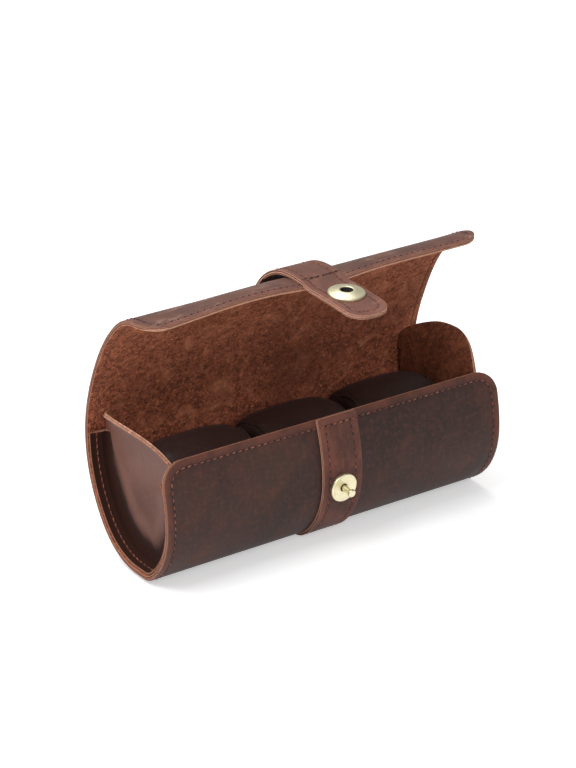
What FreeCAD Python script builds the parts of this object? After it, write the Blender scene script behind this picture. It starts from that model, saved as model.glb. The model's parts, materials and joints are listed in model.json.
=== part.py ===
"""Watch travel case: a leather wrap with end panels, a hinged lid, a strap with a press lock, three cushions.

Sizes are in millimetres. X runs along the case, Y from front to back, Z up. The origin is the middle of the
flat on which the case stands. The wrap is drawn as a line of tangent arcs in the plane of y and z, from the
top edge of the front wall round the bottom and up the back to the free edge of the lid. A place on it is its
reach, the length along the outer face from the front edge.
"""
import FreeCAD
import Part
import math
import os

# Wrap
case_length = 195.0
wrap_leather = 1.8
wrap_lining = 1.2
corner_radius = 12.0
front_tilt_degrees = 21.5
front_length = 31.0
front_radius = 86.0
foot_length = 37.0
foot_radius = 40.0
toe_radius = 11.0
flat_length = 19.5
heel_length = 4.5
heel_radius = 6.5
low_back_length = 24.8
low_back_radius = 76.7
back_length = 51.4
back_radius = 65.2
crown_length = 58.7
crown_radius = 102.0
curl_length = 29.0
curl_radius = 29.0

# Lid: three lengths back from its free edge, with bends between them where the leather itself is the hinge
lid_front_length = 22.8
lid_crown_length = 45.5
lid_rear_length = 26.2
bend_gap = 0.3

# Strap and tongue
strap_width = 22.5
strap_leather = 1.8
strap_lining = 1.1
strap_gap = 0.9
loop_foot_margin = 2.5
loop_seam_margin = 6.0
loop_lift = 4.2
loop_steps = 12
tongue_length = 39.0
tongue_radius = 260.0
tongue_lift_degrees = 13.0
tongue_corner_radius = 9.0

# End panels
panel_leather = 1.2
panel_lining = 0.8
panel_inset = 12.0
panel_flange_margin = 0.7
panel_front_reach = 9.0
panel_back_margin = 5.3
panel_crown_height = 72.5
panel_crown_back = 6.25
panel_straight_height = 48.0
panel_lean_radius = 34.0

# Press lock: the stud on the front wall
stud_reach = 35.4
stud_base_radius = 7.3
stud_base_height = 1.8
stud_rim_width = 1.9
stud_recess = 0.9
stud_rivet_radius = 2.0
stud_foot_radius = 2.4
stud_neck_radius = 1.6
stud_head_radius = 2.55
stud_post_height = 8.2
stud_seat = 0.4
stud_washer_radius = 6.0
stud_washer_height = 0.6

# Press lock: the cap on the tongue
cap_reach = 16.8
cap_radius = 8.85
cap_rim_height = 1.6
cap_dome_height = 2.6
cap_ring_radius = 4.6
cap_wall = 0.6
cap_seat = 0.15
socket_bore_radius = 3.4
socket_wall = 0.7
cap_washer_radius = 6.8
cap_washer_height = 0.5

# Cushions
cushion_names = ("left", "middle", "right")
cushion_end_clearance = 1.55
cushion_width = 52.5
cushion_height = 55.5
cushion_back = 4.75
cushion_gap = 1.7
cushion_clearance = 0.3
cushion_cover = 1.2
cushion_core_clearance = 0.15

# Shape of a cushion: places round its section, as shares of its width and height from its middle
cushion_corner_shares = ((-0.405, -0.33), (0.281, -0.321), (0.433, 0.3375), (-0.414, 0.3375))
cushion_bulge_shares = ((-0.10, -0.5), (0.5, 0.03), (0.014, 0.5), (-0.5, 0.05))
cushion_station_shares = ((-0.5, 0.76), (-0.42, 0.92), (0.0, 1.0), (0.42, 0.92), (0.5, 0.76))

cutter_overrun = 4.0
shortest_piece = 0.003

wall = wrap_leather + wrap_lining
half_length = case_length / 2
half_turn = math.pi
X_AXIS = FreeCAD.Vector(1, 0, 0)


def outward(heading):
    """Direction away from the wrap's inside, for a line that runs anticlockwise with this heading."""
    return FreeCAD.Vector(0, math.sin(heading), -math.cos(heading))


def along(heading):
    """Direction in which a line with this heading runs."""
    return FreeCAD.Vector(0, math.cos(heading), math.sin(heading))


class Run:
    """A line of tangent arcs in the plane of y and z, each turning left by its length over its radius."""

    def __init__(self, start, heading, arcs):
        self.arcs = []
        reach = 0.0
        for length, radius in arcs:
            self.arcs.append((reach, length, radius, start, heading))
            start, heading = self.advance(start, heading, length, radius)
            reach += length
        self.length = reach

    @staticmethod
    def advance(start, heading, length, radius):
        """Point and heading after a length along one arc, or along a straight where the radius is None."""
        if radius is None:
            return start + along(heading) * length, heading
        centre = start - outward(heading) * radius
        turned = heading + length / radius
        return centre + outward(turned) * radius, turned

    def at(self, reach):
        """Point and heading at a reach."""
        for begin, length, radius, start, heading in self.arcs:
            if reach <= begin + length:
                break
        return self.advance(start, heading, reach - begin, radius)

    def point(self, reach, height=0.0):
        """Point at a reach, this far outside the line."""
        place, heading = self.at(reach)
        return place + outward(heading) * height

    def edges(self, first, last, height):
        """Edges of the line between two reaches, this far outside it."""
        found = []
        for begin, length, radius, start, heading in self.arcs:
            low = max(first, begin)
            high = min(last, begin + length)
            if high - low < shortest_piece:
                continue
            ends = [self.advance(start, heading, reach - begin, radius) for reach in (low, (low + high) / 2, high)]
            places = [place + outward(turned) * height for place, turned in ends]
            if radius is None:
                found.append(Part.LineSegment(places[0], places[2]).toShape())
            else:
                found.append(Part.Arc(*places).toShape())
        return found

    def raised_edge(self, first, last, height):
        """Smooth edge between two reaches whose height over the line is a function of the reach."""
        reaches = [first + (last - first) * step / loop_steps for step in range(loop_steps + 1)]
        curve = Part.BSplineCurve()
        curve.interpolate([self.point(reach, height(reach)) for reach in reaches])
        return [curve.toShape()]


def prism(edges, width, middle=0.0):
    """Solid of this width along X over a closed outline in the plane of y and z."""
    face = Part.Face(Part.Wire(Part.__sortEdges__(edges)))
    solid = face.extrude(X_AXIS * width)
    solid.translate(X_AXIS * (middle - width / 2))
    return solid


def closed(outer, inner):
    """Outline between two open chains of edges that run the same way."""
    ends = []
    for side in (0, -1):
        ends.append(Part.LineSegment(outer[side].Vertexes[side].Point, inner[side].Vertexes[side].Point).toShape())
    return outer + inner + ends


def band(run, first, last, outer, inner, width, middle=0.0):
    """Sheet that follows a run between two reaches, from one height to another."""
    return prism(closed(run.edges(first, last, outer), run.edges(first, last, inner)), width, middle)


def raised_band(run, first, last, outer, inner, width):
    """Sheet that follows a run between two heights that change with the reach."""
    return prism(closed(run.raised_edge(first, last, outer), run.raised_edge(first, last, inner)), width)


def local_box(run, reach, behind, ahead, deep, width, middle=0.0):
    """Box about a run's tangent at a reach, from behind it to ahead of it and this deep on either side."""
    place, heading = run.at(reach)
    corners = []
    for step, side in ((-behind, -deep), (ahead, -deep), (ahead, deep), (-behind, deep)):
        corners.append(place + along(heading) * step + outward(heading) * side)
    return prism([Part.LineSegment(corners[k - 1], corners[k]).toShape() for k in range(len(corners))], width, middle)


def nose_cutter(run, reach, pivot_height, radius, width):
    """What is cut off a sheet's start so that it ends in a round nose about its bend."""
    waste = local_box(run, reach, 2 * radius, 0.0, 2 * radius + abs(pivot_height), width + cutter_overrun)
    pivot = run.point(reach, pivot_height) - X_AXIS * (width / 2 + cutter_overrun)
    return waste.cut(Part.makeCylinder(radius, width + 2 * cutter_overrun, pivot, X_AXIS))


def corner_cutters(run, edge_reach, inward, radius, width, deep):
    """What is cut off a sheet's two corners at an edge to round them; inward is the sign of the way back."""
    middle_reach = edge_reach + inward * radius / 2
    place, heading = run.at(middle_reach)
    cutters = []
    for side in (-1, 1):
        behind = radius / 2 + (cutter_overrun if inward > 0 else 0.0)
        ahead = radius / 2 + (cutter_overrun if inward < 0 else 0.0)
        reach_of_box = radius + cutter_overrun
        middle = side * (width / 2 + cutter_overrun - reach_of_box / 2)
        waste = local_box(run, middle_reach, behind, ahead, deep, reach_of_box, middle)
        centre = place + along(heading) * (inward * radius / 2) + X_AXIS * (side * (width / 2 - radius))
        low = centre - outward(heading) * (deep + cutter_overrun)
        cutters.append(waste.cut(Part.makeCylinder(radius, 2 * (deep + cutter_overrun), low, outward(heading))))
    return cutters


def without(solid, cutters):
    """A solid less each of the cutters."""
    for cutter in cutters:
        solid = solid.cut(cutter)
    return solid


def joined(first, second):
    """One solid from two that touch."""
    return first.fuse(second).removeSplitter()


def turned(profile, base, axis):
    """Solid turned about an axis from pairs of radius and height over its base."""
    points = [FreeCAD.Vector(radius, 0, height) for radius, height in profile]
    outline = Part.makePolygon(points + [points[0]])
    solid = Part.Face(outline).revolve(FreeCAD.Vector(), FreeCAD.Vector(0, 0, 1), 360)
    rotation = FreeCAD.Rotation(FreeCAD.Vector(0, 0, 1), axis)
    solid.Placement = FreeCAD.Placement(base, rotation)
    return solid


def rod(radius, low, high, base, axis):
    """Cylinder about an axis between two heights over its base."""
    return Part.makeCylinder(radius, high - low, base + axis * low, axis)


def make_wrap_run():
    """Outer face of the wrap, with the strap's underside at z = 0 in the middle of the flat."""
    heading = 1.5 * half_turn - math.radians(front_tilt_degrees)
    toe_turn = 2 * half_turn - heading - front_length / front_radius - foot_length / foot_radius
    toe_length = toe_turn * toe_radius
    arcs = [
        (front_length, front_radius),
        (foot_length, foot_radius),
        (toe_length, toe_radius),
        (flat_length, None),
        (heel_length, heel_radius),
        (low_back_length, low_back_radius),
        (back_length, back_radius),
        (crown_length, crown_radius),
        (curl_length, curl_radius),
    ]
    middle = Run(FreeCAD.Vector(), heading, arcs).point(front_length + foot_length + toe_length + flat_length / 2)
    return Run(FreeCAD.Vector(0, 0, strap_leather) - middle, heading, arcs)


wrap = make_wrap_run()
lid_edge_reach = wrap.length
third_bend_reach = lid_edge_reach - lid_front_length
second_bend_reach = third_bend_reach - lid_crown_length
first_bend_reach = second_bend_reach - lid_rear_length
bends = (first_bend_reach, second_bend_reach, third_bend_reach)
loop_foot_reach = second_bend_reach + loop_foot_margin
seam_reach = lid_edge_reach - loop_seam_margin
panel_back_reach = first_bend_reach - panel_back_margin
panel_thickness = panel_leather + panel_lining
panel_plane = half_length - panel_inset
panel_flange_width = panel_inset - panel_flange_margin
cushion_count = len(cushion_names)
cushion_room = 2 * (panel_plane - panel_thickness - cushion_end_clearance) - (cushion_count - 1) * cushion_gap
cushion_length = cushion_room / cushion_count


def make_tray_sheet(outer, inner):
    """Front wall, bottom and back wall up to the first bend, in one layer."""
    sheet = band(wrap, 0.0, first_bend_reach - wall / 2 - bend_gap, outer, inner, case_length)
    sheet = without(sheet, corner_cutters(wrap, 0.0, 1, corner_radius, case_length, 2 * wall))
    return sheet.cut(stud_hole())


def make_lid_sheet(number, outer, inner):
    """One length of the lid between two bends, in one layer."""
    start = bends[number]
    last = number == len(bends) - 1
    end = lid_edge_reach if last else bends[number + 1] - wall / 2 - bend_gap
    sheet = band(wrap, start - wall / 2, end, outer, inner, case_length)
    sheet = sheet.cut(nose_cutter(wrap, start, -wall / 2, wall / 2, case_length))
    if last:
        sheet = without(sheet, corner_cutters(wrap, lid_edge_reach, -1, corner_radius, case_length, 2 * wall))
    return sheet


def loop_height(reach):
    """Height of the strap's outer layer over the lid: it lifts into a loose loop and comes down at the seam."""
    share = min(max((reach - loop_foot_reach) / (seam_reach - loop_foot_reach), 0.0), 1.0)
    lift = loop_lift * math.sin(half_turn * share) ** 2
    rise = strap_lining * (3 - 2 * share) * share ** 2
    return lift + rise


def loop_top(reach):
    """Height of the strap's outer face over the lid in the loop."""
    return loop_height(reach) + strap_leather


def loop_under(reach):
    """Height of the underside of the strap's second layer over the lid in the loop."""
    return loop_height(reach) - strap_lining


def make_strap_crown():
    """Strap from the second bend to the third: flat on the lid, then lifting into the loop."""
    start = second_bend_reach + strap_gap / 2
    end = third_bend_reach - strap_gap / 2
    flat = band(wrap, start, loop_foot_reach, strap_leather, 0.0, strap_width)
    return joined(flat, raised_band(wrap, loop_foot_reach, end, loop_top, loop_height, strap_width))


def make_strap_front(top, under, outer, inner):
    """One layer of the strap from the third bend over the loop and the seam to the lid's edge."""
    start = third_bend_reach + strap_gap / 2
    loop = raised_band(wrap, start, seam_reach, top, under, strap_width)
    return joined(loop, band(wrap, seam_reach, lid_edge_reach, outer, inner, strap_width))


strap_thickness = strap_lining + strap_leather


def make_tongue_run():
    """Underside of the tongue, from a round nose beyond the lid's edge to the tip."""
    nose = strap_thickness / 2
    place, heading = wrap.at(lid_edge_reach)
    pivot = place + along(heading) * (bend_gap + nose) + outward(heading) * nose
    lifted = heading - math.radians(tongue_lift_degrees)
    start = pivot - outward(lifted) * nose - along(lifted) * nose
    return Run(start, lifted, [(nose, None), (tongue_length - nose - bend_gap, tongue_radius)])


tongue = make_tongue_run()


def make_tongue_layer(outer, inner):
    """One layer of the tongue, with its nose, round corners and the hole for the socket."""
    nose = strap_thickness / 2
    layer = band(tongue, 0.0, tongue.length, outer, inner, strap_width)
    layer = layer.cut(nose_cutter(tongue, nose, nose, nose, strap_width))
    cutters = corner_cutters(tongue, tongue.length, -1, tongue_corner_radius, strap_width, 2 * strap_thickness)
    base, axis = cap_place()
    cutters.append(rod(socket_bore_radius + socket_wall, -strap_thickness, 2 * strap_thickness, base, axis))
    return without(layer, cutters)


def stud_place():
    """Foot of the stud on the strap's outer face, sunk by its seat, and its axis."""
    place, heading = wrap.at(stud_reach)
    return place + outward(heading) * (strap_leather - stud_seat), outward(heading)


def stud_hole():
    """Hole for the stud's rivet with the seats of its base and its washer."""
    base, axis = stud_place()
    floor = stud_seat - strap_leather - wall
    hole = rod(stud_rivet_radius, floor - cutter_overrun, cutter_overrun, base, axis)
    hole = hole.fuse(rod(stud_base_radius, 0.0, cutter_overrun, base, axis))
    return hole.fuse(rod(stud_washer_radius, floor - cutter_overrun, floor + stud_seat, base, axis))


def make_stud_base():
    """Dished disc of the stud with the rivet that goes through strap and wall."""
    base, axis = stud_place()
    recess_radius = stud_base_radius - stud_rim_width
    bevel = stud_rim_width / 3
    disc = turned([
        (0.0, 0.0),
        (stud_base_radius, 0.0),
        (stud_base_radius, stud_base_height - bevel),
        (stud_base_radius - bevel, stud_base_height),
        (recess_radius, stud_base_height),
        (recess_radius - bevel, stud_base_height - stud_recess),
        (0.0, stud_base_height - stud_recess),
    ], base, axis)
    low = 2 * stud_seat - strap_leather - wall - stud_washer_height
    return joined(disc, rod(stud_rivet_radius, low, 0.0, base, axis))


def make_stud_post():
    """Post of the stud: a flared foot, a narrow neck and a round head."""
    base, axis = stud_place()
    low = stud_base_height - stud_recess
    height = stud_post_height - low
    neck_shares = (0.08, 0.20, 0.62, 0.78, 0.92)
    foot_end, neck_low, neck_high, head_low, head_high = [low + share * height for share in neck_shares]
    return turned([
        (0.0, low),
        (stud_foot_radius, low),
        (stud_foot_radius, foot_end),
        (stud_neck_radius, neck_low),
        (stud_neck_radius, neck_high),
        (stud_head_radius, head_low),
        (stud_head_radius, head_high),
        (stud_neck_radius, stud_post_height),
        (0.0, stud_post_height),
    ], base, axis)


def make_stud_washer():
    """Washer of the stud against the lining inside the front wall."""
    base, axis = stud_place()
    top = 2 * stud_seat - strap_leather - wall
    ring = rod(stud_washer_radius, top - stud_washer_height, top, base, axis)
    return ring.cut(rod(stud_rivet_radius, top - cutter_overrun, top + cutter_overrun, base, axis))


def cap_place():
    """Point of the cap's axis on the tongue's underside, and the axis."""
    place, heading = tongue.at(strap_thickness / 2 + cap_reach - bend_gap - strap_thickness / 2)
    return place, outward(heading)


def make_cap_dome():
    """Domed cap on the tongue: a rim, a dome and a ring round its open middle."""
    base, axis = cap_place()
    low = strap_thickness - cap_seat
    rim = low + cap_rim_height
    top = low + cap_dome_height
    bore = socket_bore_radius + socket_wall
    return turned([
        (bore, low),
        (cap_radius, low),
        (cap_radius, rim - cap_wall),
        (cap_radius - cap_wall, rim),
        ((cap_radius + cap_ring_radius) / 2, (rim + top) / 2 + cap_wall / 3),
        (cap_ring_radius, top),
        (bore, top),
    ], base, axis)


def make_cap_socket():
    """Tube through the tongue that takes the stud's head, with a lip over the cap."""
    base, axis = cap_place()
    low = -cap_washer_height
    top = strap_thickness - cap_seat + cap_dome_height
    bore = socket_bore_radius
    return turned([
        (bore, low),
        (bore + socket_wall, low),
        (bore + socket_wall, top),
        (bore, top),
    ], base, axis)


def make_cap_washer():
    """Washer of the socket on the tongue's underside."""
    base, axis = cap_place()
    ring = rod(cap_washer_radius, cap_seat - cap_washer_height, cap_seat, base, axis)
    return ring.cut(rod(socket_bore_radius + socket_wall, -cutter_overrun, cutter_overrun, base, axis))


def cap_seats():
    """Shallow seats in the tongue for the cap and its washer."""
    base, axis = cap_place()
    upper = rod(cap_radius, strap_thickness - cap_seat, strap_thickness + cutter_overrun, base, axis)
    return [upper, rod(cap_washer_radius, -cutter_overrun, cap_seat, base, axis)]


def panel_outline(depth, width):
    """Prism inside the wrap at a depth under its lining, closed above by the panel's arched top."""
    bottom = wrap.edges(panel_front_reach, panel_back_reach, -wall - depth)
    crown = FreeCAD.Vector(0, panel_crown_back, panel_crown_height + strap_leather)
    top = []
    for reach in (panel_back_reach, panel_front_reach):
        end = wrap.point(reach, -wall - depth)
        drop = crown.z - end.z
        aside = end.y - crown.y
        radius = (drop ** 2 + aside ** 2) / (2 * drop)
        half = math.asin(aside / radius) / 2
        middle = FreeCAD.Vector(0, crown.y + radius * math.sin(half), crown.z - radius * (1 - math.cos(half)))
        top.append(Part.Arc(end, middle, crown).toShape())
    return prism(bottom + top, width)


def leaning_sheet(near, far, depth):
    """Upright sheet across the left end that leans out towards the top, between two distances out."""
    lean = Run(FreeCAD.Vector(), half_turn / 2, [
        (panel_straight_height + strap_leather, None),
        (panel_lean_radius, panel_lean_radius),
    ])
    sheet = band(lean, 0.0, lean.length, -near, -far, depth)
    sheet.rotate(FreeCAD.Vector(), FreeCAD.Vector(0, 0, 1), -90)
    sheet.translate(X_AXIS * -panel_plane)
    return sheet


def make_left_panel(near, far, depth, thickness):
    """One layer of the left end panel: the leaning plate and the flange glued inside the wrap."""
    plate = leaning_sheet(near, far, 2 * case_length).common(panel_outline(depth, case_length + cutter_overrun))
    flange_length = panel_flange_width - near
    middle = -panel_plane - near - flange_length / 2
    flange = band(wrap, panel_front_reach, panel_back_reach, -wall - depth, -wall - depth - thickness,
                  flange_length, middle)
    return joined(plate, flange)


def mirrored(solid):
    """The same solid at the other end of the case."""
    return solid.mirror(FreeCAD.Vector(), X_AXIS)


def cushion_section(x, share, inset):
    """Wire round a cushion at a place along it: four arcs between four corners."""
    width = cushion_width * share - 2 * inset
    height = cushion_height * share - 2 * inset
    floor = strap_leather + wall + cushion_clearance
    middle = FreeCAD.Vector(x, cushion_back, floor + cushion_height / 2)

    def place(shares):
        return middle + FreeCAD.Vector(0, shares[0] * width, shares[1] * height)

    corners = [place(shares) for shares in cushion_corner_shares]
    bulges = [place(shares) for shares in cushion_bulge_shares]
    arcs = []
    for number, bulge in enumerate(bulges):
        arcs.append(Part.Arc(corners[number], bulge, corners[(number + 1) % len(corners)]).toShape())
    return Part.Wire(arcs)


def make_pillow(middle, inset):
    """Crowned pillow with drawn-in ends, this far inside the cushion's outer face."""
    length = cushion_length - 2 * inset
    sections = []
    for place_share, size_share in cushion_station_shares:
        sections.append(cushion_section(middle + place_share * length, size_share, inset))
    return Part.makeLoft(sections, True, False)


def save(name, solid):
    """Write one piece and say how large it is."""
    solid.exportStep(os.path.join("parts", name + ".step"))
    print(name, len(solid.Solids), "solid", round(solid.Volume), "mm3", "valid" if solid.isValid() else "INVALID")


def main():
    """Build every piece of the case."""
    os.makedirs("parts", exist_ok=True)
    save("tray_leather", make_tray_sheet(0.0, -wrap_leather))
    save("tray_lining", make_tray_sheet(-wrap_leather, -wall))
    for number, name in enumerate(("lid_rear", "lid_crown", "lid_front")):
        save(name + "_leather", make_lid_sheet(number, 0.0, -wrap_leather))
        save(name + "_lining", make_lid_sheet(number, -wrap_leather, -wall))

    panel = make_left_panel(panel_lining, panel_thickness, panel_lining, panel_leather)
    backing = make_left_panel(0.0, panel_lining, 0.0, panel_lining).cut(panel)
    save("left_panel_leather", panel)
    save("left_panel_lining", backing)
    save("right_panel_leather", mirrored(panel))
    save("right_panel_lining", mirrored(backing))

    half_gap = strap_gap / 2
    tray_strap = band(wrap, 0.0, first_bend_reach - half_gap, strap_leather, 0.0, strap_width)
    save("strap_tray", tray_strap.cut(stud_hole()))
    save("strap_rear", band(wrap, first_bend_reach + half_gap, second_bend_reach - half_gap, strap_leather, 0.0,
                            strap_width))
    save("strap_crown", make_strap_crown())
    save("strap_front", make_strap_front(loop_top, loop_height, strap_thickness, strap_lining))
    save("strap_front_lining", make_strap_front(loop_height, loop_under, strap_lining, 0.0))
    save("tongue_leather", without(make_tongue_layer(strap_thickness, strap_lining), cap_seats()))
    save("tongue_lining", without(make_tongue_layer(strap_lining, 0.0), cap_seats()))

    save("stud_base", make_stud_base())
    save("stud_post", make_stud_post())
    save("stud_washer", make_stud_washer())
    save("cap_dome", make_cap_dome())
    save("cap_socket", make_cap_socket())
    save("cap_washer", make_cap_washer())

    for number, name in enumerate(cushion_names):
        middle = (number - (cushion_count - 1) / 2) * (cushion_length + cushion_gap)
        hollow = make_pillow(middle, cushion_cover)
        save("cushion_" + name + "_cover", make_pillow(middle, 0.0).cut(hollow))
        save("cushion_" + name + "_core", make_pillow(middle, cushion_cover + cushion_core_clearance))


main()
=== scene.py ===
"""Dress the watch travel case for its studio picture.

The case is a sheet of oiled leather lined with suede: a tray whose back wall runs on into the lid, two
end panels, a strap with a press lock and three cushions. Sizes are in millimetres and meshes in metres.
A place on the wrap is its reach, the length along its outer face from the front wall's top edge.
"""
from __future__ import annotations

import json
import logging
import math
from dataclasses import dataclass, field
from enum import Enum
from typing import Callable, Sequence, Union

import bmesh
import bpy
import numpy as np
from mathutils import Matrix, Vector

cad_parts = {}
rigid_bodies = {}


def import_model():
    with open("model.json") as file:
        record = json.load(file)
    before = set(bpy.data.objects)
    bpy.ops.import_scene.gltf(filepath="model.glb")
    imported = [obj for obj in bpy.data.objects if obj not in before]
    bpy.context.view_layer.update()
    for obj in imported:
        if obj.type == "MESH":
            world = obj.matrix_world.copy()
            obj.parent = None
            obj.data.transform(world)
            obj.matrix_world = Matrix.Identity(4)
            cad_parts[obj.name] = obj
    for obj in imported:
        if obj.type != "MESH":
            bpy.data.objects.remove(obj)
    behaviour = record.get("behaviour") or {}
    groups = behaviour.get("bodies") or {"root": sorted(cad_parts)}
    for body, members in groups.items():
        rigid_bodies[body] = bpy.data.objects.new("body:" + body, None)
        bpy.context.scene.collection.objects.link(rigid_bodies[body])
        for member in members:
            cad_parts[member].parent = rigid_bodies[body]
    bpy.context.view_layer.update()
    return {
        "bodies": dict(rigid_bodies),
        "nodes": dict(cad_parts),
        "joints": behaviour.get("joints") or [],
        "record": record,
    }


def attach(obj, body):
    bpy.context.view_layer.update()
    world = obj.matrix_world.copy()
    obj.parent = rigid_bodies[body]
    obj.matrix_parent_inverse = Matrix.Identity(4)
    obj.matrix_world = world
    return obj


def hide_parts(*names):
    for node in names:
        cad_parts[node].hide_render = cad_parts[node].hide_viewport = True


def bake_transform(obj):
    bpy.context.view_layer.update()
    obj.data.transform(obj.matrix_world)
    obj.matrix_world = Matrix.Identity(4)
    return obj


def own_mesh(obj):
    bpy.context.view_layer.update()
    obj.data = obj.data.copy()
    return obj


LOG = logging.getLogger("watch_case")
MM = 0.001
# An inset that no point has, for leather without a seam.
NO_SEAM = -9.0
# A distance from the border that counts as the middle of a sheet.
INNER = 50.0
# A distance beyond the whole case.
FAR = 1000.0
Piece = bpy.types.Object
Finish = bpy.types.Material
Array = np.ndarray
Pair = tuple[float, float]
Triple = tuple[float, float, float]
Place = Callable[[Array, Array, Array], Array]
Face = Callable[[Array, Array], Array]
Level = Callable[[Array], Array]
Screen = tuple[int, int, int]


class Slot(Enum):
    """Material slots of the record."""

    OUTER = "outer_leather"
    STRAP = "strap_leather"
    PANEL = "panel_leather"
    SUEDE = "suede"
    CUSHION = "cushion_leather"
    METAL = "gold"


# Shader maths


class Value:
    """A number or colour socket in a material, with arithmetic that adds Math nodes."""

    def __init__(self, graph: Graph, socket: bpy.types.NodeSocket) -> None:
        """Keep the socket and the graph it belongs to."""
        self.graph = graph
        self.socket = socket

    def _pair(self, operation: str, first: Term, second: Term) -> Value:
        """Math node on two terms."""
        return self.graph.node("ShaderNodeMath", {"operation": operation}, {0: first, 1: second})

    def __add__(self, other: Term) -> Value:
        """Sum."""
        return self._pair("ADD", self, other)

    def __radd__(self, other: Term) -> Value:
        """Sum with the number first."""
        return self._pair("ADD", other, self)

    def __sub__(self, other: Term) -> Value:
        """Difference."""
        return self._pair("SUBTRACT", self, other)

    def __rsub__(self, other: Term) -> Value:
        """Difference with the number first."""
        return self._pair("SUBTRACT", other, self)

    def __mul__(self, other: Term) -> Value:
        """Product."""
        return self._pair("MULTIPLY", self, other)

    def __rmul__(self, other: Term) -> Value:
        """Product with the number first."""
        return self._pair("MULTIPLY", other, self)

    def above(self, low: float, high: float) -> Value:
        """Smooth rise from 0 at low to 1 at high; low may be the larger one, and then it falls."""
        settings = {"interpolation_type": "SMOOTHSTEP", "clamp": True}
        ends = (low, high, 0.0, 1.0) if low < high else (high, low, 1.0, 0.0)
        return self.graph.node("ShaderNodeMapRange", settings, {0: self, **dict(enumerate(ends, 1))})

    def absolute(self) -> Value:
        """Size without its sign."""
        return self.graph.node("ShaderNodeMath", {"operation": "ABSOLUTE"}, {0: self})


Term = Union[Value, float, Sequence[float]]


class Graph:
    """The node tree of one material."""

    def __init__(self, name: str) -> None:
        """Make an empty node material.

        Args:
            name: the material's name.
        """
        self.material = bpy.data.materials.new(name)
        self.material.use_nodes = True
        self.tree = self.material.node_tree
        self.tree.nodes.clear()

    def node(self, kind: str, settings: dict, values: dict, output: int | str = 0) -> Value:
        """Add a node: its settings first, then its sockets' values or links.

        Args:
            kind: the node's type.
            settings: properties of the node.
            values: sockets by index or name, each a number, a tuple or a Value.
            output: which output is handed back.

        Returns:
            The output as a Value.
        """
        made = self.tree.nodes.new(kind)
        for key, setting in settings.items():
            setattr(made, key, setting)
        for key, term in values.items():
            if isinstance(term, Value):
                self.tree.links.new(term.socket, made.inputs[key])
            else:
                made.inputs[key].default_value = term
        return Value(self, made.outputs[output])

    def attribute(self, name: str, vector: bool = False) -> Value:
        """Read a point attribute of the mesh, as a number or as a vector."""
        return self.node("ShaderNodeAttribute", {"attribute_name": name}, {}, "Vector" if vector else "Fac")

    def place(self) -> Value:
        """Object coordinates."""
        return self.node("ShaderNodeTexCoord", {}, {}, "Object")

    def stretched(self, vector: Value, scale: Sequence[float]) -> Value:
        """Vector scaled on each axis."""
        return self.node("ShaderNodeMapping", {}, {"Vector": vector, "Scale": scale})

    def noise(self, vector: Value, scale: float, detail: float = 3.0, rough: float = 0.55,
              bend: float = 0.0) -> Value:
        """Noise of this many features per metre, from 0 to 1."""
        values = {"Vector": vector, "Scale": scale, "Detail": detail, "Roughness": rough, "Distortion": bend}
        return self.node("ShaderNodeTexNoise", {}, values)

    def cells(self, vector: Value, scale: float) -> Value:
        """Distance to the nearest cell of a cellular pattern."""
        values = {"Vector": vector, "Scale": scale}
        return self.node("ShaderNodeTexVoronoi", {"feature": "F1"}, values, "Distance")

    def blend(self, share: Term, first: Term, second: Term) -> Value:
        """Colour that goes from the first to the second as the share goes from 0 to 1."""
        settings = {"data_type": "RGBA", "blend_type": "MIX", "clamp_factor": True}
        return self.node("ShaderNodeMix", settings, {0: share, 6: first, 7: second}, 2)

    def bump(self, height: Value, depth: float, strength: float) -> Value:
        """Normal of a height map."""
        return self.node("ShaderNodeBump", {}, {"Height": height, "Distance": depth, "Strength": strength})

    def close(self, shader: Value) -> Finish:
        """Join a shader to the material's output and hand back the material."""
        output = self.tree.nodes.new("ShaderNodeOutputMaterial")
        self.tree.links.new(shader.socket, output.inputs["Surface"])
        return self.material

    def surface(self, constants: dict, colour: Value, roughness: Value,
                normal: Value | None = None) -> Finish:
        """Close the material with one principled surface.

        Args:
            constants: sockets that are the same all over.
            colour: base colour.
            roughness: of the surface.
            normal: bumped normal, if there is one.

        Returns:
            The material.
        """
        links = {"Base Color": colour, "Roughness": roughness}
        if normal is not None:
            links["Normal"] = normal
        return self.close(self.node("ShaderNodeBsdfPrincipled", {}, {**constants, **links}))


def tone(red: int, green: int, blue: int) -> tuple[float, float, float, float]:
    """Linear colour of a screen colour from 0 to 255, with full alpha: the sRGB curve undone.

    Args:
        red: first channel.
        green: second channel.
        blue: third channel.

    Returns:
        Colour.
    """
    shares = np.array([red, green, blue]) / 255
    linear = np.where(shares <= 0.04045, shares / 12.92, ((shares + 0.055) / 1.055) ** 2.4)
    return (*[float(part) for part in linear], 1.0)


def dimmed(colour: Screen, share: float) -> tuple[float, float, float, float]:
    """Linear colour of a share of a screen colour, in whole steps."""
    return tone(*[int(part * share) for part in colour])


@dataclass(frozen=True)
class Border:
    """What leather and suede share round their border: the seam's groove and the raw fibres of the cut."""

    g: Graph
    flat: Value
    edge: Value
    raw: Screen
    raw_dim: float
    seam_inset: float
    groove_from: float = 0.9
    groove_full: float = 0.25
    raw_from: float = 0.2
    raw_full: float = 0.04
    fibres: float = 900.0

    def groove(self) -> Value:
        """Share of the groove: full within a quarter of a millimetre of the seam's line."""
        return (self.edge - self.seam_inset).absolute().above(self.groove_from, self.groove_full)

    def bare(self) -> Value:
        """Share of the cut edge."""
        return self.edge.above(self.raw_from, self.raw_full)

    def cut(self, bare: Value, colour: Value) -> Value:
        """Colour with the cut edge's fibres over it, which run along the sheet."""
        fibre = self.g.noise(self.g.stretched(self.flat, (1.0, 1.0, 6.0)), self.fibres, 3.0, 0.65)
        raw = self.g.blend(fibre.above(0.35, 0.7), dimmed(self.raw, self.raw_dim), tone(*self.raw))
        return self.g.blend(bare, colour, raw)


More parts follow.
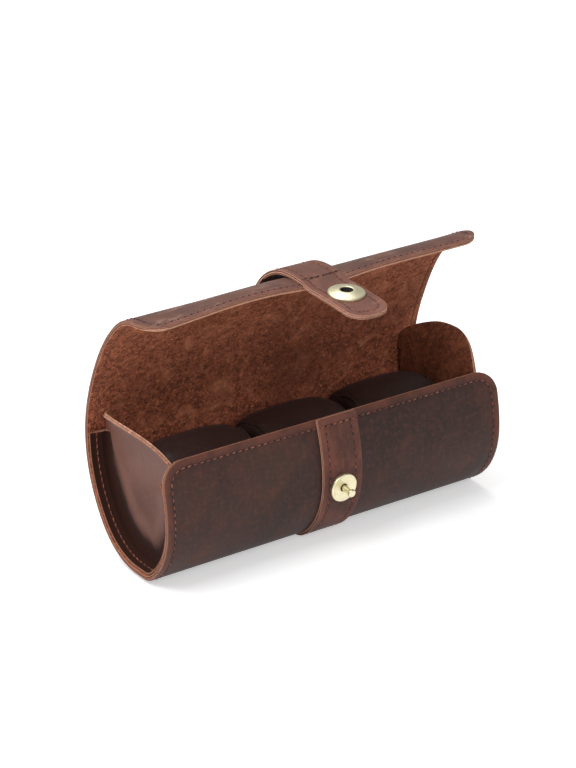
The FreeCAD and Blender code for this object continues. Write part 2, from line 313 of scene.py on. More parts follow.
@dataclass(frozen=True)
class OiledLeather:
    """Smooth pull-up leather: dark body, soft clouds, scuffs, a paler border and a raw cut edge."""

    name: str
    body: Screen = (44, 27, 23)
    cloud: Screen = (62, 38, 32)
    olive: Screen = (58, 42, 32)
    scuff: Screen = (116, 65, 50)
    raw: Screen = (180, 124, 100)
    # Tone that the painted_light_and_wear attribute paints in: dark for painted shade, pale for painted
    # sheen with wear.
    painted_light_and_wear_colour: Screen = (74, 40, 30)
    thread_shadow: Screen = (24, 13, 11)
    wax: Screen = (196, 158, 140)
    painted_light_and_wear_gloss: float = 0.2
    bloom: float = 0.0
    streaks: float = 0.08
    seam_inset: float = 4.0
    border: float = 5.5
    border_share: float = 0.75
    mottle: float = 0.3
    roughness: float = 0.56
    specular: float = 0.3
    grain: float = 0.35
    grain_depth: float = 0.22
    sheen: float = 0.02
    clouds: float = 16.0
    olives: float = 23.0
    mottles: float = 60.0
    grains: float = 420.0
    draws: float = 620.0
    waxes: float = 75.0
    pores: float = 950.0
    creases: float = 130.0

    def build(self) -> Finish:
        """Make the material: clouds, scuffs, worn border, groove, painted shade, painted sheen with wear,
        wax and the cut in turn.
        """
        g = Graph(self.name)
        flat = g.attribute("flat", vector=True)
        edge = g.attribute("edge") * (1 / MM)
        painted_light_and_wear = g.attribute("painted_light_and_wear")
        rim = Border(g, flat, edge, self.raw, 0.72, self.seam_inset)
        body, scuff = tone(*self.body), tone(*self.scuff)
        broad = g.noise(flat, self.clouds, 3.0, 0.55, 0.6)
        middle = g.noise(flat, self.mottles, 4.0, 0.6, 0.3)
        fine = g.noise(flat, self.grains, 3.0, 0.6)
        streak = g.noise(g.stretched(flat, (1.0, 0.1, 1.0)), self.draws, 3.0, 0.6, 0.2)
        colour = g.blend(broad.above(0.36, 0.68), body, tone(*self.cloud))
        colour = g.blend(g.noise(flat, self.olives, 2.0).above(0.5, 0.75) * 0.6, colour, tone(*self.olive))
        colour = g.blend(middle.above(0.46, 0.8) * self.mottle, colour, scuff)
        colour = g.blend(streak.above(0.42, 0.75) * self.streaks, colour, scuff)
        colour = g.blend(streak.above(0.5, 0.25) * self.streaks, colour, dimmed(self.body, 0.6))
        colour = g.blend(fine.above(0.45, 0.75) * 0.24, colour, scuff)
        # Paler worn border by the cut edge.
        wear_and_sheen = edge.above(self.border, 0.6) * (middle.above(0.25, 0.65) * 0.7 + fine * 0.3)
        colour = g.blend(wear_and_sheen * self.border_share, colour, scuff)
        groove = rim.groove()
        colour = g.blend(groove * 0.35, colour, tone(*self.thread_shadow))
        # Painted light: a second tone, painted shade on the end panels and painted sheen with wear towards
        # the lid's edge and over the strap's loop.
        colour = g.blend(painted_light_and_wear * (0.5 + middle.above(0.3, 0.7) * 0.4), colour, tone(*self.painted_light_and_wear_colour))
        # Pale wax bloom speckles, only where that painted sheen and wear lies.
        if self.bloom:
            wax = g.noise(g.stretched(flat, (1.0, 2.5, 1.0)), self.waxes, 4.0, 0.65, 0.5).above(0.52, 0.72)
            colour = g.blend(painted_light_and_wear * wax * self.bloom, colour, tone(*self.wax))
        bare = rim.bare()
        colour = rim.cut(bare, colour)
        pores = g.cells(flat, self.pores).above(0.05, 0.55)
        creases = g.noise(g.stretched(flat, (1.0, 0.35, 1.0)), self.creases, 4.0, 0.6, 0.8)
        height = pores * 0.35 + fine * 0.4 + creases * 0.5 - groove * 1.3
        gloss = self.roughness + middle * 0.16 - broad * 0.06 + bare * 0.25 + painted_light_and_wear * self.painted_light_and_wear_gloss
        constants = {"Specular IOR Level": self.specular, "Sheen Weight": self.sheen, "Sheen Roughness": 0.5}
        return g.surface(constants, colour, gloss, g.bump(height, self.grain_depth * MM, self.grain))


@dataclass(frozen=True)
class Suede:
    """Napped flesh side: matt, mottled by the lie of its nap, with darker and paler fibres."""

    name: str
    dark: Screen = (98, 52, 37)
    body: Screen = (156, 88, 64)
    pale: Screen = (210, 134, 100)
    raw: Screen = (218, 162, 134)
    thread_shadow: Screen = (60, 30, 22)
    sheen: Screen = (190, 130, 95)
    seam_inset: float = 4.0
    nap_depth: float = 0.35
    naps: float = 1100.0
    tufts: float = 430.0
    strokes: float = 70.0
    clouds: float = 20.0
    specks: float = 720.0

    def build(self) -> Finish:
        """Make the material: tufts, specks, brush strokes, clouds, groove and the cut in turn."""
        g = Graph(self.name)
        flat = g.attribute("flat", vector=True)
        rim = Border(g, flat, g.attribute("edge") * (1 / MM), self.raw, 0.75, self.seam_inset)
        dark, pale = tone(*self.dark), tone(*self.pale)
        nap = g.noise(flat, self.naps, 3.0, 0.7, 0.4)
        tuft = g.noise(flat, self.tufts, 3.0, 0.65, 0.8)
        brushed = g.noise(flat, self.strokes, 4.0, 0.6, 1.2)
        cloud = g.noise(flat, self.clouds, 2.0, 0.5)
        speck = g.noise(flat, self.specks, 2.0, 0.8, 0.3)
        colour = g.blend(tuft.above(0.36, 0.64), dark, tone(*self.body))
        colour = g.blend(speck.above(0.54, 0.72) * 0.75, colour, pale)
        colour = g.blend(speck.above(0.44, 0.3) * 0.7, colour, dimmed(self.dark, 0.7))
        colour = g.blend(brushed.above(0.48, 0.75) * 0.5, colour, pale)
        colour = g.blend(cloud.above(0.5, 0.75) * 0.45, colour, dark)
        groove = rim.groove()
        colour = g.blend(groove * 0.15, colour, tone(*self.thread_shadow))
        colour = rim.cut(rim.bare(), colour)
        normal = g.bump(nap * 0.7 + tuft + brushed * 0.5 - groove * 1.6, self.nap_depth * MM, 0.6)
        constants = {"Specular IOR Level": 0.15, "Sheen Weight": 0.35, "Sheen Roughness": 0.55,
                     "Sheen Tint": tone(*self.sheen)}
        return g.surface(constants, colour, 0.86 + nap * 0.14, normal)


@dataclass(frozen=True)
class SatinMetal:
    """Pale gold plate with a soft brush and faint handling marks."""

    name: str
    body: Screen = (232, 224, 190)
    wear_and_sheen: Screen = (216, 204, 162)
    roughness: float = 0.28
    mark_depth: float = 0.03
    clouds: float = 500.0
    marks: float = 1500.0

    def build(self) -> Finish:
        """Make the material."""
        g = Graph(self.name)
        spot = g.place()
        cloud = g.noise(spot, self.clouds)
        marks = g.noise(g.stretched(spot, (1.0, 9.0, 1.0)), self.marks, 4.0, 0.7)
        colour = g.blend(cloud.above(0.42, 0.75) * 0.55, tone(*self.body), tone(*self.wear_and_sheen))
        gloss = self.roughness + cloud * 0.12 + marks * 0.1
        normal = g.bump(marks + cloud * 0.6, self.mark_depth * MM, 0.3)
        return g.surface({"Metallic": 1.0}, colour, gloss, normal)


@dataclass(frozen=True)
class Thread:
    """Waxed sewing thread, toned from stitch to stitch, and the needle holes between the stitches, painted
    dark as their shade.
    """

    name: str
    body: Screen = (150, 84, 62)
    dark: Screen = (96, 48, 38)
    # Painted shade of the needle holes.
    hole: Screen = (34, 18, 14)
    ply_depth: float = 0.1
    tints: float = 260.0
    plies: float = 2600.0

    def build(self) -> Finish:
        """Make the material; a needle hole is told by its edge attribute of zero, and gets the dark colour
        of painted shade.
        """
        g = Graph(self.name)
        spot = g.place()
        tint = g.noise(spot, self.tints, 2.0)
        ply = g.noise(spot, self.plies, 2.0, 0.6)
        colour = g.blend(tint.above(0.35, 0.7), tone(*self.dark), tone(*self.body))
        colour = g.blend(ply.above(0.5, 0.75) * 0.4, colour, tone(*self.dark))
        # Painted shade: the needle holes are coloured dark.
        colour = g.blend((g.attribute("edge") * (1 / MM)).above(2.0, 1.0), colour, tone(*self.hole))
        constants = {"Specular IOR Level": 0.1, "Sheen Weight": 0.15}
        return g.surface(constants, colour, 0.6 + ply * 0.2, g.bump(ply, self.ply_depth * MM, 0.5))


@dataclass(frozen=True)
class CavityShade:
    """Painted shade inside the socket and the stud's hole: a dark colour where the metal lies in shade."""

    name: str
    deep: Screen = (10, 8, 8)
    paler_shade: Screen = (28, 24, 22)
    clouds: float = 900.0

    def build(self) -> Finish:
        """Make the material."""
        g = Graph(self.name)
        cloud = g.noise(g.place(), self.clouds)
        # Painted shade, a little clouded.
        colour = g.blend(cloud, tone(*self.deep), tone(*self.paler_shade))
        return g.surface({"Specular IOR Level": 0.3}, colour, 0.5 + cloud * 0.2)


# Lines


@dataclass
class ArcLine:
    """A line of tangent arcs in the plane of y and z."""

    begins: Array
    curves: Array
    points: Array
    headings: Array
    length: float

    @classmethod
    def laid(cls, start: Sequence[float], heading: float, arcs: Sequence[Pair]) -> ArcLine:
        """Lay arcs end to end.

        Args:
            start: y and z of the first point.
            heading: direction at the start, in radians from y towards z.
            arcs: length and curvature of each arc; a positive curvature turns left.

        Returns:
            The line.
        """
        lengths = np.array([length for length, _ in arcs])
        curves = np.array([curve for _, curve in arcs])
        turned = heading + np.concatenate([[0.0], np.cumsum(lengths * curves)])
        steps = cls.chord(lengths, curves, turned[:-1])
        points = np.array(start) + np.concatenate([np.zeros((1, 2)), np.cumsum(steps, 0)])
        begins = np.concatenate([[0.0], np.cumsum(lengths)[:-1]])
        return cls(begins, curves, points[:-1], turned[:-1], float(lengths.sum()))

    @staticmethod
    def chord(length: Array, curve: Array, heading: Array) -> Array:
        """Way from an arc's start to its end: its length times sin(t/2) over t/2, at half its turn t.

        Args:
            length: of the arc.
            curve: its curvature.
            heading: direction at its start.

        Returns:
            Steps in y and z.
        """
        half = length * curve / 2
        size = length * np.sinc(half / math.pi)
        middle = heading + half
        return np.stack([size * np.cos(middle), size * np.sin(middle)], -1)

    def at(self, reach: Array, height: Array | float = 0.0) -> tuple[Array, Array]:
        """Points and outward directions at some reaches; outward is the heading turned right by a quarter.

        Args:
            reach: lengths along the line.
            height: distances outside the line.

        Returns:
            Points as y and z, and unit outward directions.
        """
        reach = np.asarray(reach, float)
        which = np.clip(np.searchsorted(self.begins, reach, side="right") - 1, 0, len(self.begins) - 1)
        along = reach - self.begins[which]
        place = self.points[which] + self.chord(along, self.curves[which], self.headings[which])
        heading = self.headings[which] + along * self.curves[which]
        out = np.stack([np.sin(heading), -np.cos(heading)], -1)
        return place + out * np.asarray(height, float)[..., None], out


@dataclass
class DrawnLine:
    """A smooth line through many points in the plane of y and z, read by its own length."""

    places: Array
    lengths: Array = field(init=False)
    outs: Array = field(init=False)

    def __post_init__(self) -> None:
        """Measure the line and its outward directions, from differences of neighbouring points."""
        steps = np.diff(self.places, axis=0)
        self.lengths = np.concatenate([[0.0], np.cumsum(np.hypot(steps[:, 0], steps[:, 1]))])
        slope = np.gradient(self.places, self.lengths, axis=0)
        slope /= np.hypot(slope[:, 0], slope[:, 1])[:, None]
        self.outs = np.stack([slope[:, 1], -slope[:, 0]], 1)

    @property
    def length(self) -> float:
        """Whole length."""
        return float(self.lengths[-1])

    def at(self, reach: Array, height: Array | float = 0.0) -> tuple[Array, Array]:
        """Points and outward directions at some lengths, between neighbouring points in a straight line.

        Args:
            reach: lengths along the line.
            height: distances outside the line.

        Returns:
            Points as y and z, and unit outward directions.
        """
        reach = np.asarray(reach, float)
        place, out = [np.stack([np.interp(reach, self.lengths, rows[:, k]) for k in (0, 1)], -1)
                      for rows in (self.places, self.outs)]
        out /= np.linalg.norm(out, axis=-1, keepdims=True)
        return place + out * np.asarray(height, float)[..., None], out


def smoothed(points: Array, spread: int, rounds: int) -> Array:
    """Points averaged with their neighbours: each round takes the mean of a window; both ends stay put.

    Args:
        points: places along a line.
        spread: neighbours on either side in the window.
        rounds: how many times.

    Returns:
        As many places.
    """
    kernel = np.ones(2 * spread + 1) / (2 * spread + 1)
    for _ in range(rounds):
        before = 2 * points[:1] - points[spread:0:-1]
        after = 2 * points[-1:] - points[-2:-spread - 2:-1]
        padded = np.concatenate([before, points, after])
        points = np.stack([np.convolve(padded[:, k], kernel, "valid") for k in range(points.shape[1])], 1)
    return points


def ring_mean(values: Array, spread: int) -> Array:
    """Mean of a window round a closed ring, with this many neighbours on either side."""
    kernel = np.ones(2 * spread + 1) / (2 * spread + 1)
    return np.convolve(np.concatenate([values[-spread:], values, values[:spread]]), kernel, "valid")


def read_round(spokes: Array, count: int) -> tuple[Array, Array]:
    """Read an outline at even angles round its middle, softened by the mean of five neighbours.

    Args:
        spokes: places on the outline from its middle.
        count: of the even angles.

    Returns:
        Angles and the outline's distance at each.
    """
    angle = np.arctan2(spokes[:, 1], spokes[:, 0])
    order = np.argsort(angle)
    wanted = np.linspace(-math.pi, math.pi, count, endpoint=False)
    size = np.interp(wanted, angle[order], np.hypot(*spokes[order].T), period=2 * math.pi)
    return wanted, ring_mean(size, 2)


def eased(share: Array) -> Array:
    """Smooth step: 3 s squared less 2 s cubed, with s held between 0 and 1."""
    share = np.clip(share, 0.0, 1.0)
    return share * share * (3 - 2 * share)


def bell(distance: Array, width: float) -> Array:
    """Bell curve: e to the minus square of the distance over the width."""
    return np.exp(-(distance / width) ** 2)


def rounding(away: Array, bevel: float) -> Array:
    """How far a face closes in near its edge: the bevel less a quarter circle's height at that distance."""
    return bevel * (1 - np.sqrt(1 - np.clip(1 - away / bevel, 0.0, 1.0) ** 2))


# Meshes


@dataclass
class Mesh:
    """Points in millimetres, faces and point attributes, gathered until they become one object."""

    points: list[Array] = field(default_factory=list)
    faces: list[list[int]] = field(default_factory=list)
    flats: list[Array] = field(default_factory=list)
    edges: list[Array] = field(default_factory=list)
    painted_light_and_wear_rows: list[Array] = field(default_factory=list)
    count: int = 0

    def add(self, points: Array, faces: Sequence, flat: Array | None = None, edge: Array | None = None,
            painted_light_and_wear: Array | None = None) -> None:
        """Add points with the faces that use them.

        Args:
            points: places, one row each.
            faces: rows of indices into these points.
            flat: place on the flat sheet for the material, else the place itself.
            edge: distance from the sheet's border, else far from it.
            painted_light_and_wear: share of the leather's painted tone (painted shade, painted sheen with
                wear), else none.
        """
        points = np.asarray(points, float).reshape(-1, 3)
        rows = faces.tolist() if isinstance(faces, np.ndarray) else faces
        self.faces.extend([[index + self.count for index in row] for row in rows])
        self.points.append(points)
        self.flats.append(points if flat is None else np.asarray(flat, float).reshape(-1, 3))
        self.edges.append(np.full(len(points), INNER) if edge is None else np.asarray(edge, float).ravel())
        self.painted_light_and_wear_rows.append(np.zeros(len(points)) if painted_light_and_wear is None else np.asarray(painted_light_and_wear, float).ravel())
        self.count += len(points)

    def drop_loose(self) -> None:
        """Leave out the points that no face uses."""
        used = np.unique(np.concatenate([np.array(face) for face in self.faces]))
        place = np.zeros(self.count, int)
        place[used] = np.arange(len(used))
        self.faces = [[int(place[index]) for index in face] for face in self.faces]
        for rows in (self.points, self.flats, self.edges, self.painted_light_and_wear_rows):
            rows[:] = [np.concatenate(rows)[used]]
        self.count = len(used)

    def build(self, name: str, material: Finish, smooth: bool = True) -> Piece:
        """Turn the gathered mesh into an object at the origin.

        Args:
            name: the object's name.
            material: its finish.
            smooth: shade the faces smoothly.

        Returns:
            The object.
        """
        data = bpy.data.meshes.new(name)
        data.from_pydata((np.concatenate(self.points) * MM).tolist(), [], self.faces)
        flat = data.attributes.new("flat", "FLOAT_VECTOR", "POINT")
        flat.data.foreach_set("vector", (np.concatenate(self.flats) * MM).astype(np.float32).ravel())
        # The second attribute is the share of painted shade and painted sheen with wear that the leather
        # paints in.
        for key, rows, unit in (("edge", self.edges, MM), ("painted_light_and_wear", self.painted_light_and_wear_rows, 1.0)):
            attribute = data.attributes.new(key, "FLOAT", "POINT")
            attribute.data.foreach_set("value", (np.concatenate(rows) * unit).astype(np.float32))
        data.polygons.foreach_set("use_smooth", np.full(len(data.polygons), smooth))
        data.materials.append(material)
        data.update()
        piece = bpy.data.objects.new(name, data)
        bpy.context.scene.collection.objects.link(piece)
        LOG.info("%s: %d points, %d faces", name, len(data.vertices), len(data.polygons))
        return piece


def grid_faces(rows: int, columns: int, flip: bool = False, ring: bool = False) -> Array:
    """Quads of a grid of points, row by row.

    Args:
        rows: of the grid.
        columns: of the grid.
        flip: turn the faces over.
        ring: join the last column to the first.

    Returns:
        Four indices for each face.
    """
    across = columns if ring else columns - 1
    row, column = np.meshgrid(np.arange(rows - 1), np.arange(across), indexing="ij")
    after = (column + 1) % columns
    low, high = row * columns, (row + 1) * columns
    quads = np.stack([low + column, low + after, high + after, high + column], -1).reshape(-1, 4)
    return quads[:, ::-1] if flip else quads


def border_indices(rows: int, columns: int) -> Array:
    """Indices round the border of a grid, anticlockwise from its first point."""
    index = np.arange(rows * columns).reshape(rows, columns)
    return np.concatenate([index[0, :-1], index[:-1, -1], index[-1, :0:-1], index[:0:-1, 0]])


@dataclass
class Strip:
    """A flat strip of leather between two reaches, bent along a line, with rounded free corners.

    Its hole, if any, is given by the reach of its middle and its radius.
    """

    place: Place
    half_width: float
    first: float
    last: float
    top: Level
    under: Level
    free_first: bool = False
    free_last: bool = False
    corner: float = 12.0
    corner_shares: tuple[float, ...] = (0.5, 0.62, 0.75, 0.87, 1.0)
    bevel: float = 0.35
    bevel_share: float = 0.35
    border_line: float = 1.6
    groove_inset: float = 4.0
    groove_half: float = 0.8
    groove_width: float = 0.6
    groove_depth: float = 0.12
    least_inner_share: float = 0.3
    skive: float = 0.0
    skive_width: float = 3.0
    step: float = 2.6
    columns: int = 44
    least_turn: float = 0.5
    hole: Pair | None = None

    def side_steps(self) -> Array:
        """Distances from the border where grid lines run: at the bevel, and either side of the seam."""
        bevels = [0.0, self.bevel_share * self.bevel, self.bevel, self.border_line]
        return np.array(bevels + [self.groove_inset + part * self.groove_half for part in (-1, 0, 1)])

    def rows(self) -> Array:
        """Reaches of the grid's rows: close together at a free end, even elsewhere."""
        near = np.concatenate([self.side_steps(), self.corner * np.array(self.corner_shares)])
        near = np.unique(np.round(near, 3))
        low = self.first + near if self.free_first else np.array([self.first])
        high = self.last - near[::-1] if self.free_last else np.array([self.last])
        count = max(int(round((high[0] - low[-1]) / self.step)), 1)
        return np.concatenate([low, np.linspace(low[-1], high[0], count + 1)[1:-1], high])

    def end_distance(self, reach: Array, most: float) -> Array:
        """Distance to the nearer free end, or the given one where that is less."""
        ends = np.full_like(reach, most)
        if self.free_first:
            ends = np.minimum(ends, reach - self.first)
        if self.free_last:
            ends = np.minimum(ends, self.last - reach)
        return ends

    def half_at(self, reach: Array) -> Array:
        """Half width at a reach: less in a rounded corner, where it follows a circle."""
        gap = self.corner - np.clip(self.end_distance(reach, self.corner), 0.0, self.corner)
        return self.half_width - self.corner + np.sqrt(np.maximum(self.corner**2 - gap**2, 0.0))

    def border_distance(self, x: Array, reach: Array) -> Array:
        """Distance from the border: the nearer of side and free end, or to the circle in a rounded corner.

        Args:
            x: place across the strip.
            reach: place along it.

        Returns:
            Distances.
        """
        side = self.half_width - np.abs(x)
        ends = self.end_distance(reach, FAR)
        within = (side < self.corner) & (ends < self.corner)
        round_part = self.corner - np.hypot(self.corner - side, self.corner - ends)
        return np.maximum(np.where(within, round_part, np.minimum(side, ends)), 0.0)

    def grid(self) -> tuple[Array, Array]:
        """x and reach of the grid's points.

        Returns:
            Two grids: narrow columns down to the groove, drawn together in a corner, and even ones inside.
        """
        reach = self.rows()
        half = self.half_at(reach)
        near = self.side_steps()
        middle = np.linspace(-1.0, 1.0, self.columns)
        inner = np.maximum(half - near[-1], self.least_inner_share * half)
        scale = (half - inner) / near[-1]
        left = -half[:, None] + near[None, :-1] * scale[:, None]
        x = np.concatenate([left, middle[None, :] * inner[:, None], -left[:, ::-1]], 1)
        return x, np.repeat(reach[:, None], x.shape[1], 1)

    def add_to(self, mesh: Mesh, shift: float = 0.0, tint: Level | None = None) -> None:
        """Add the strip as a closed solid: two faces, a rounded rim and a cap at each cut end.

        Near the border the faces close in by a rounding, and over the seam they dip by a bell.

        Args:
            mesh: where the strip goes.
            shift: added to the place that the material reads, so that two strips differ.
            tint: share of the leather's painted tone at a reach: painted sheen with wear.
        """
        x, reach = self.grid()
        rows, columns = x.shape
        quads = grid_faces(rows, columns)
        out = self.punched(x, reach, quads) if self.hole else np.zeros(len(quads), bool)
        away = self.border_distance(x, reach)
        drop = rounding(away, self.bevel)
        drop = drop + self.groove_depth * bell(away - self.groove_inset, self.groove_width)
        thinner = self.skive * (1 - eased(away / self.skive_width))
        # Share of painted sheen with wear, if the strip has any.
        painted_light_and_wear = tint(reach) if tint else None
        for height, order in ((self.top(reach) - drop, -1), (self.under(reach) + drop + thinner, 1)):
            flat = np.stack([x + shift, reach, height], -1)
            mesh.add(self.place(x, reach, height), quads[~out][:, ::order], flat, away, painted_light_and_wear)
        lower = mesh.count - rows * columns
        upper = lower - rows * columns
        self.close_rim(mesh, rows, columns, upper, lower)
        if self.hole:
            ways = {(int(a), int(b)) for row in quads[out][:, ::-1] for a, b in zip(row, np.roll(row, -1))}
            edges = [way for way in sorted(ways) if way[::-1] not in ways]
            mesh.faces.extend([a + upper, b + upper, b + lower, a + lower] for a, b in edges)
            mesh.drop_loose()

    def close_rim(self, mesh: Mesh, rows: int, columns: int, upper: int, lower: int) -> None:
        """Join the strip's two faces by a rim, and by a cap of its own points at a cut end.

        Args:
            mesh: where the two faces were added last.
            rows: of the grid.
            columns: of the grid.
            upper: index of the top face's first point.
            lower: index of the under face's first point.
        """
        border = border_indices(rows, columns)
        following = np.roll(border, -1)
        index = np.arange(rows * columns).reshape(rows, columns)
        ends = ((index[0], self.free_first), (index[-1], self.free_last))
        cut = np.zeros(rows * columns, bool)
        for row, free in ends:
            cut[row] = not free
        capped = cut[border] & cut[following] & ((border // columns) == (following // columns))
        rim = np.stack([border + upper, following + upper, following + lower, border + lower], 1)[~capped]
        mesh.faces.extend(rim[:, ::-1].tolist())
        points, flats = np.concatenate(mesh.points[-2:]), np.concatenate(mesh.flats[-2:])
        for row, free in ends:
            if not free:
                both = np.concatenate([row, row + rows * columns])
                faces = grid_faces(2, columns, flip=bool(row[0] != 0))
                mesh.add(points[both], faces, flats[both])

    def punched(self, x: Array, reach: Array, quads: Array) -> Array:
        """Draw the grid's points round the hole onto its circle, and tell which faces it takes out.

        Args:
            x: the grid's x, changed in place.
            reach: the grid's reach, changed in place.
            quads: the grid's faces.

        Returns:
            True for each face within the hole.
        """
        centre, radius = self.hole
        wide, along = x.reshape(-1), reach.reshape(-1)
        out = np.hypot(wide[quads].mean(1), along[quads].mean(1) - centre) < radius
        rim = np.intersect1d(quads[out], quads[~out])
        scale = radius / np.hypot(wide[rim], along[rim] - centre)
        wide[rim] *= scale
        along[rim] = centre + (along[rim] - centre) * scale
        return out

    def seam(self, inset: float, end_inset: float | None = None) -> list[Array]:
        """Where the border seam goes: up the right side, and its mirror image down the left one.

        Args:
            inset: distance from the border.
            end_inset: distance from the last end, if it's another one.

        Returns:
            Runs of x and reach.
        """
        final = inset if end_inset is None else end_inset
        side = self.half_width - inset
        radius = max(self.corner - inset, self.least_turn)
        low = self.first + (inset + radius if self.free_first else 0.0)
        high = self.last - (final + radius if self.free_last else 0.0)
        turn = np.linspace(0.0, math.pi / 2, 13)
        across, along = side - radius + radius * np.cos(turn), radius * np.sin(turn)
        right = [np.array([[side, low], [side, high]])]
        if self.free_first:
            right = [np.array([[0.0, self.first + inset]]), np.stack([across, low - along], 1)[::-1], *right]
        if self.free_last:
            right = [*right, np.stack([across, high + along], 1), np.array([[0.0, self.last - final]])]
        run = np.concatenate(right)
        return [run[::-1] * [-1, 1], run]


@dataclass(frozen=True)
class Sewing:
    """One kind of seam: its stitches' pitch, length, thread radius and slant, and its needle holes."""

    pitch: float
    length: float
    radius: float
    slant: float
    sunk_share: float = 0.1
    probe: float = 0.5
    hole_share: float = 1.4
    hole_rise: float = 0.08
    hole_depth: float = 0.3
    hole_sink: float = 0.05

    def shape(self) -> tuple[Array, list[list[int]]]:
        """One stitch lying along its first axis: six sides, thin at both ends, arched in the middle.

        Returns:
            Points and faces.
        """
        shares = np.array([-0.5, -0.4, -0.16, 0.16, 0.4, 0.5])
        sizes = np.array([0.35, 0.85, 1.0, 1.0, 0.85, 0.35])
        lifts = np.array([-1.1, -0.35, 0.15, 0.15, -0.35, -1.1])
        angle = np.arange(6) * math.pi / 3
        along = np.repeat(shares[:, None] * self.length, 6, 1)
        side = sizes[:, None] * self.radius * np.cos(angle)
        up = sizes[:, None] * self.radius * np.sin(angle) + lifts[:, None] * self.radius
        faces = grid_faces(6, 6, flip=True, ring=True).tolist()
        faces.extend([[0, 1, 2, 3, 4, 5], [35, 34, 33, 32, 31, 30]])
        return np.stack([along, side, up], -1).reshape(-1, 3), faces

    def spread(self, run: Array) -> tuple[Array, Array]:
        """Even places along a run of points, at about the pitch, and the directions there.

        Args:
            run: corners of the run, one row each.

        Returns:
            Places and unit directions.
        """
        steps = np.linalg.norm(np.diff(run, axis=0), axis=1)
        run = run[np.concatenate([[True], steps > 1e-6])]
        lengths = np.concatenate([[0.0], np.cumsum(np.linalg.norm(np.diff(run, axis=0), axis=1))])
        count = max(int(round(lengths[-1] / self.pitch)), 1)
        wanted = (np.arange(count) + 0.5) * lengths[-1] / count
        delta = min(self.pitch, lengths[-1]) * 0.2
        low, high = [np.clip(wanted + way * delta, 0, lengths[-1]) for way in (-1, 1)]
        places = [np.stack([np.interp(where, lengths, run[:, k]) for k in (0, 1)], 1)
                  for where in (wanted, low, high)]
        slope = places[2] - places[1]
        return places[0], slope / np.linalg.norm(slope, axis=1, keepdims=True)

    def add_stitches(self, mesh: Mesh, centres: Array, alongs: Array, ups: Array) -> None:
        """Add one stitch at each centre: its own axes times the shape's points, all at once.

        Args:
            mesh: where they go.
            centres: places in millimetres.
            alongs: directions of the seam.
            ups: directions away from the leather.
        """
        shape, faces = self.shape()
        ups = ups / np.linalg.norm(ups, axis=1, keepdims=True)
        alongs = alongs - ups * np.sum(alongs * ups, axis=1, keepdims=True)
        alongs /= np.linalg.norm(alongs, axis=1, keepdims=True)
        turned = alongs * math.cos(self.slant) + np.cross(ups, alongs) * math.sin(self.slant)
        axes = (turned, np.cross(ups, turned), ups)
        points = centres[:, None] + sum(shape[None, :, k, None] * axes[k][:, None] for k in range(3))
        offsets = np.arange(len(centres)) * len(shape)
        every = [[index + int(offset) for index in face] for offset in offsets for face in faces]
        mesh.add(points, every)

    def add_holes(self, mesh: Mesh, centres: Array, ups: Array) -> None:
        """Add a needle hole at each centre: a nearly flat cone of eight sides, which the thread paints dark
        as the hole's shade.

        Args:
            mesh: where they go.
            centres: places on the leather's face, in millimetres.
            ups: directions away from the leather.
        """
        ups = ups / np.linalg.norm(ups, axis=1, keepdims=True)
        firsts = np.cross(ups, [1.0, 0.31, 0.17])
        firsts /= np.linalg.norm(firsts, axis=1, keepdims=True)
        seconds = np.cross(ups, firsts)
        angle = (np.arange(8) * math.pi / 4)[None, :, None]
        spokes = np.cos(angle) * firsts[:, None] + np.sin(angle) * seconds[:, None]
        tips = centres[:, None] + self.hole_rise * ups[:, None]
        below = centres[:, None] - self.hole_depth * ups[:, None]
        ring = centres[:, None] + self.hole_share * self.radius * spokes
        side = [[k, (k + 1) % 8, 8] for k in range(8)] + [[(k + 1) % 8, k, 9] for k in range(8)]
        every = [[index + 10 * number for index in face] for number in range(len(centres)) for face in side]
        mesh.add(np.concatenate([ring, tips, below], 1), every, edge=np.zeros(10 * len(centres)))

    def sew(self, mesh: Mesh, place: Place, runs: Sequence[Array], height: Face, outward: float) -> None:
        """Sew seams on a bent sheet.

        Directions come from places a little further on along the seam and a little higher.

        Args:
            mesh: where the stitches go.
            place: the sheet's bending.
            runs: runs of x and reach.
            height: of the leather's face at x and reach.
            outward: 1 on the outer face, -1 on the inner one.
        """
        for run in runs:
            at, way = self.spread(run)
            x, reach = at[:, 0], at[:, 1]
            level = height(x, reach) - outward * self.sunk_share * self.radius
            centre = place(x, reach, level)
            ahead = place(x + way[:, 0] * self.probe, reach + way[:, 1] * self.probe, level) - centre
            self.add_stitches(mesh, centre, ahead, place(x, reach, level + outward * self.probe) - centre)
            x, reach = (at[1:].T + at[:-1].T) / 2
            level = height(x, reach) - outward * self.hole_sink
            spots = place(x, reach, level)
            self.add_holes(mesh, spots, place(x, reach, level + outward * self.probe) - spots)


def lathe(profile: Sequence[Pair], base: Array, axis: Array,
          sides: int = 64) -> tuple[Array, list]:
    """Surface turned about an axis from pairs of radius and height.

    Args:
        profile: radius and height from the foot to the top; a zero radius closes an end.
        base: a point on the axis.
        axis: its direction.
        sides: round the axis.

    Returns:
        Points and faces.
    """
    axis = axis / np.linalg.norm(axis)
    first = np.cross(axis, [1.0, 0.0, 0.0])
    first /= np.linalg.norm(first)
    second = np.cross(axis, first)
    angle = np.arange(sides) * 2 * math.pi / sides
    spokes = np.cos(angle)[:, None] * first + np.sin(angle)[:, None] * second
    rings = np.array(profile)
    inner = rings[rings[:, 0] > 1e-9]
    points = (base + inner[:, None, 1, None] * axis + inner[:, None, 0, None] * spokes[None]).reshape(-1, 3)
    count = len(inner)
    faces = grid_faces(count, sides, ring=True).tolist()
    for end, low, way in ((rings[0], 0, 1), (rings[-1], (count - 1) * sides, -1)):
        if end[0] <= 1e-9:
            points = np.concatenate([points, [base + end[1] * axis]])
            fan = [[len(points) - 1, low + (k + 1) % sides, low + k] for k in range(sides)]
            faces.extend([face[:1] + face[1:][::way] for face in fan])
    return points, faces


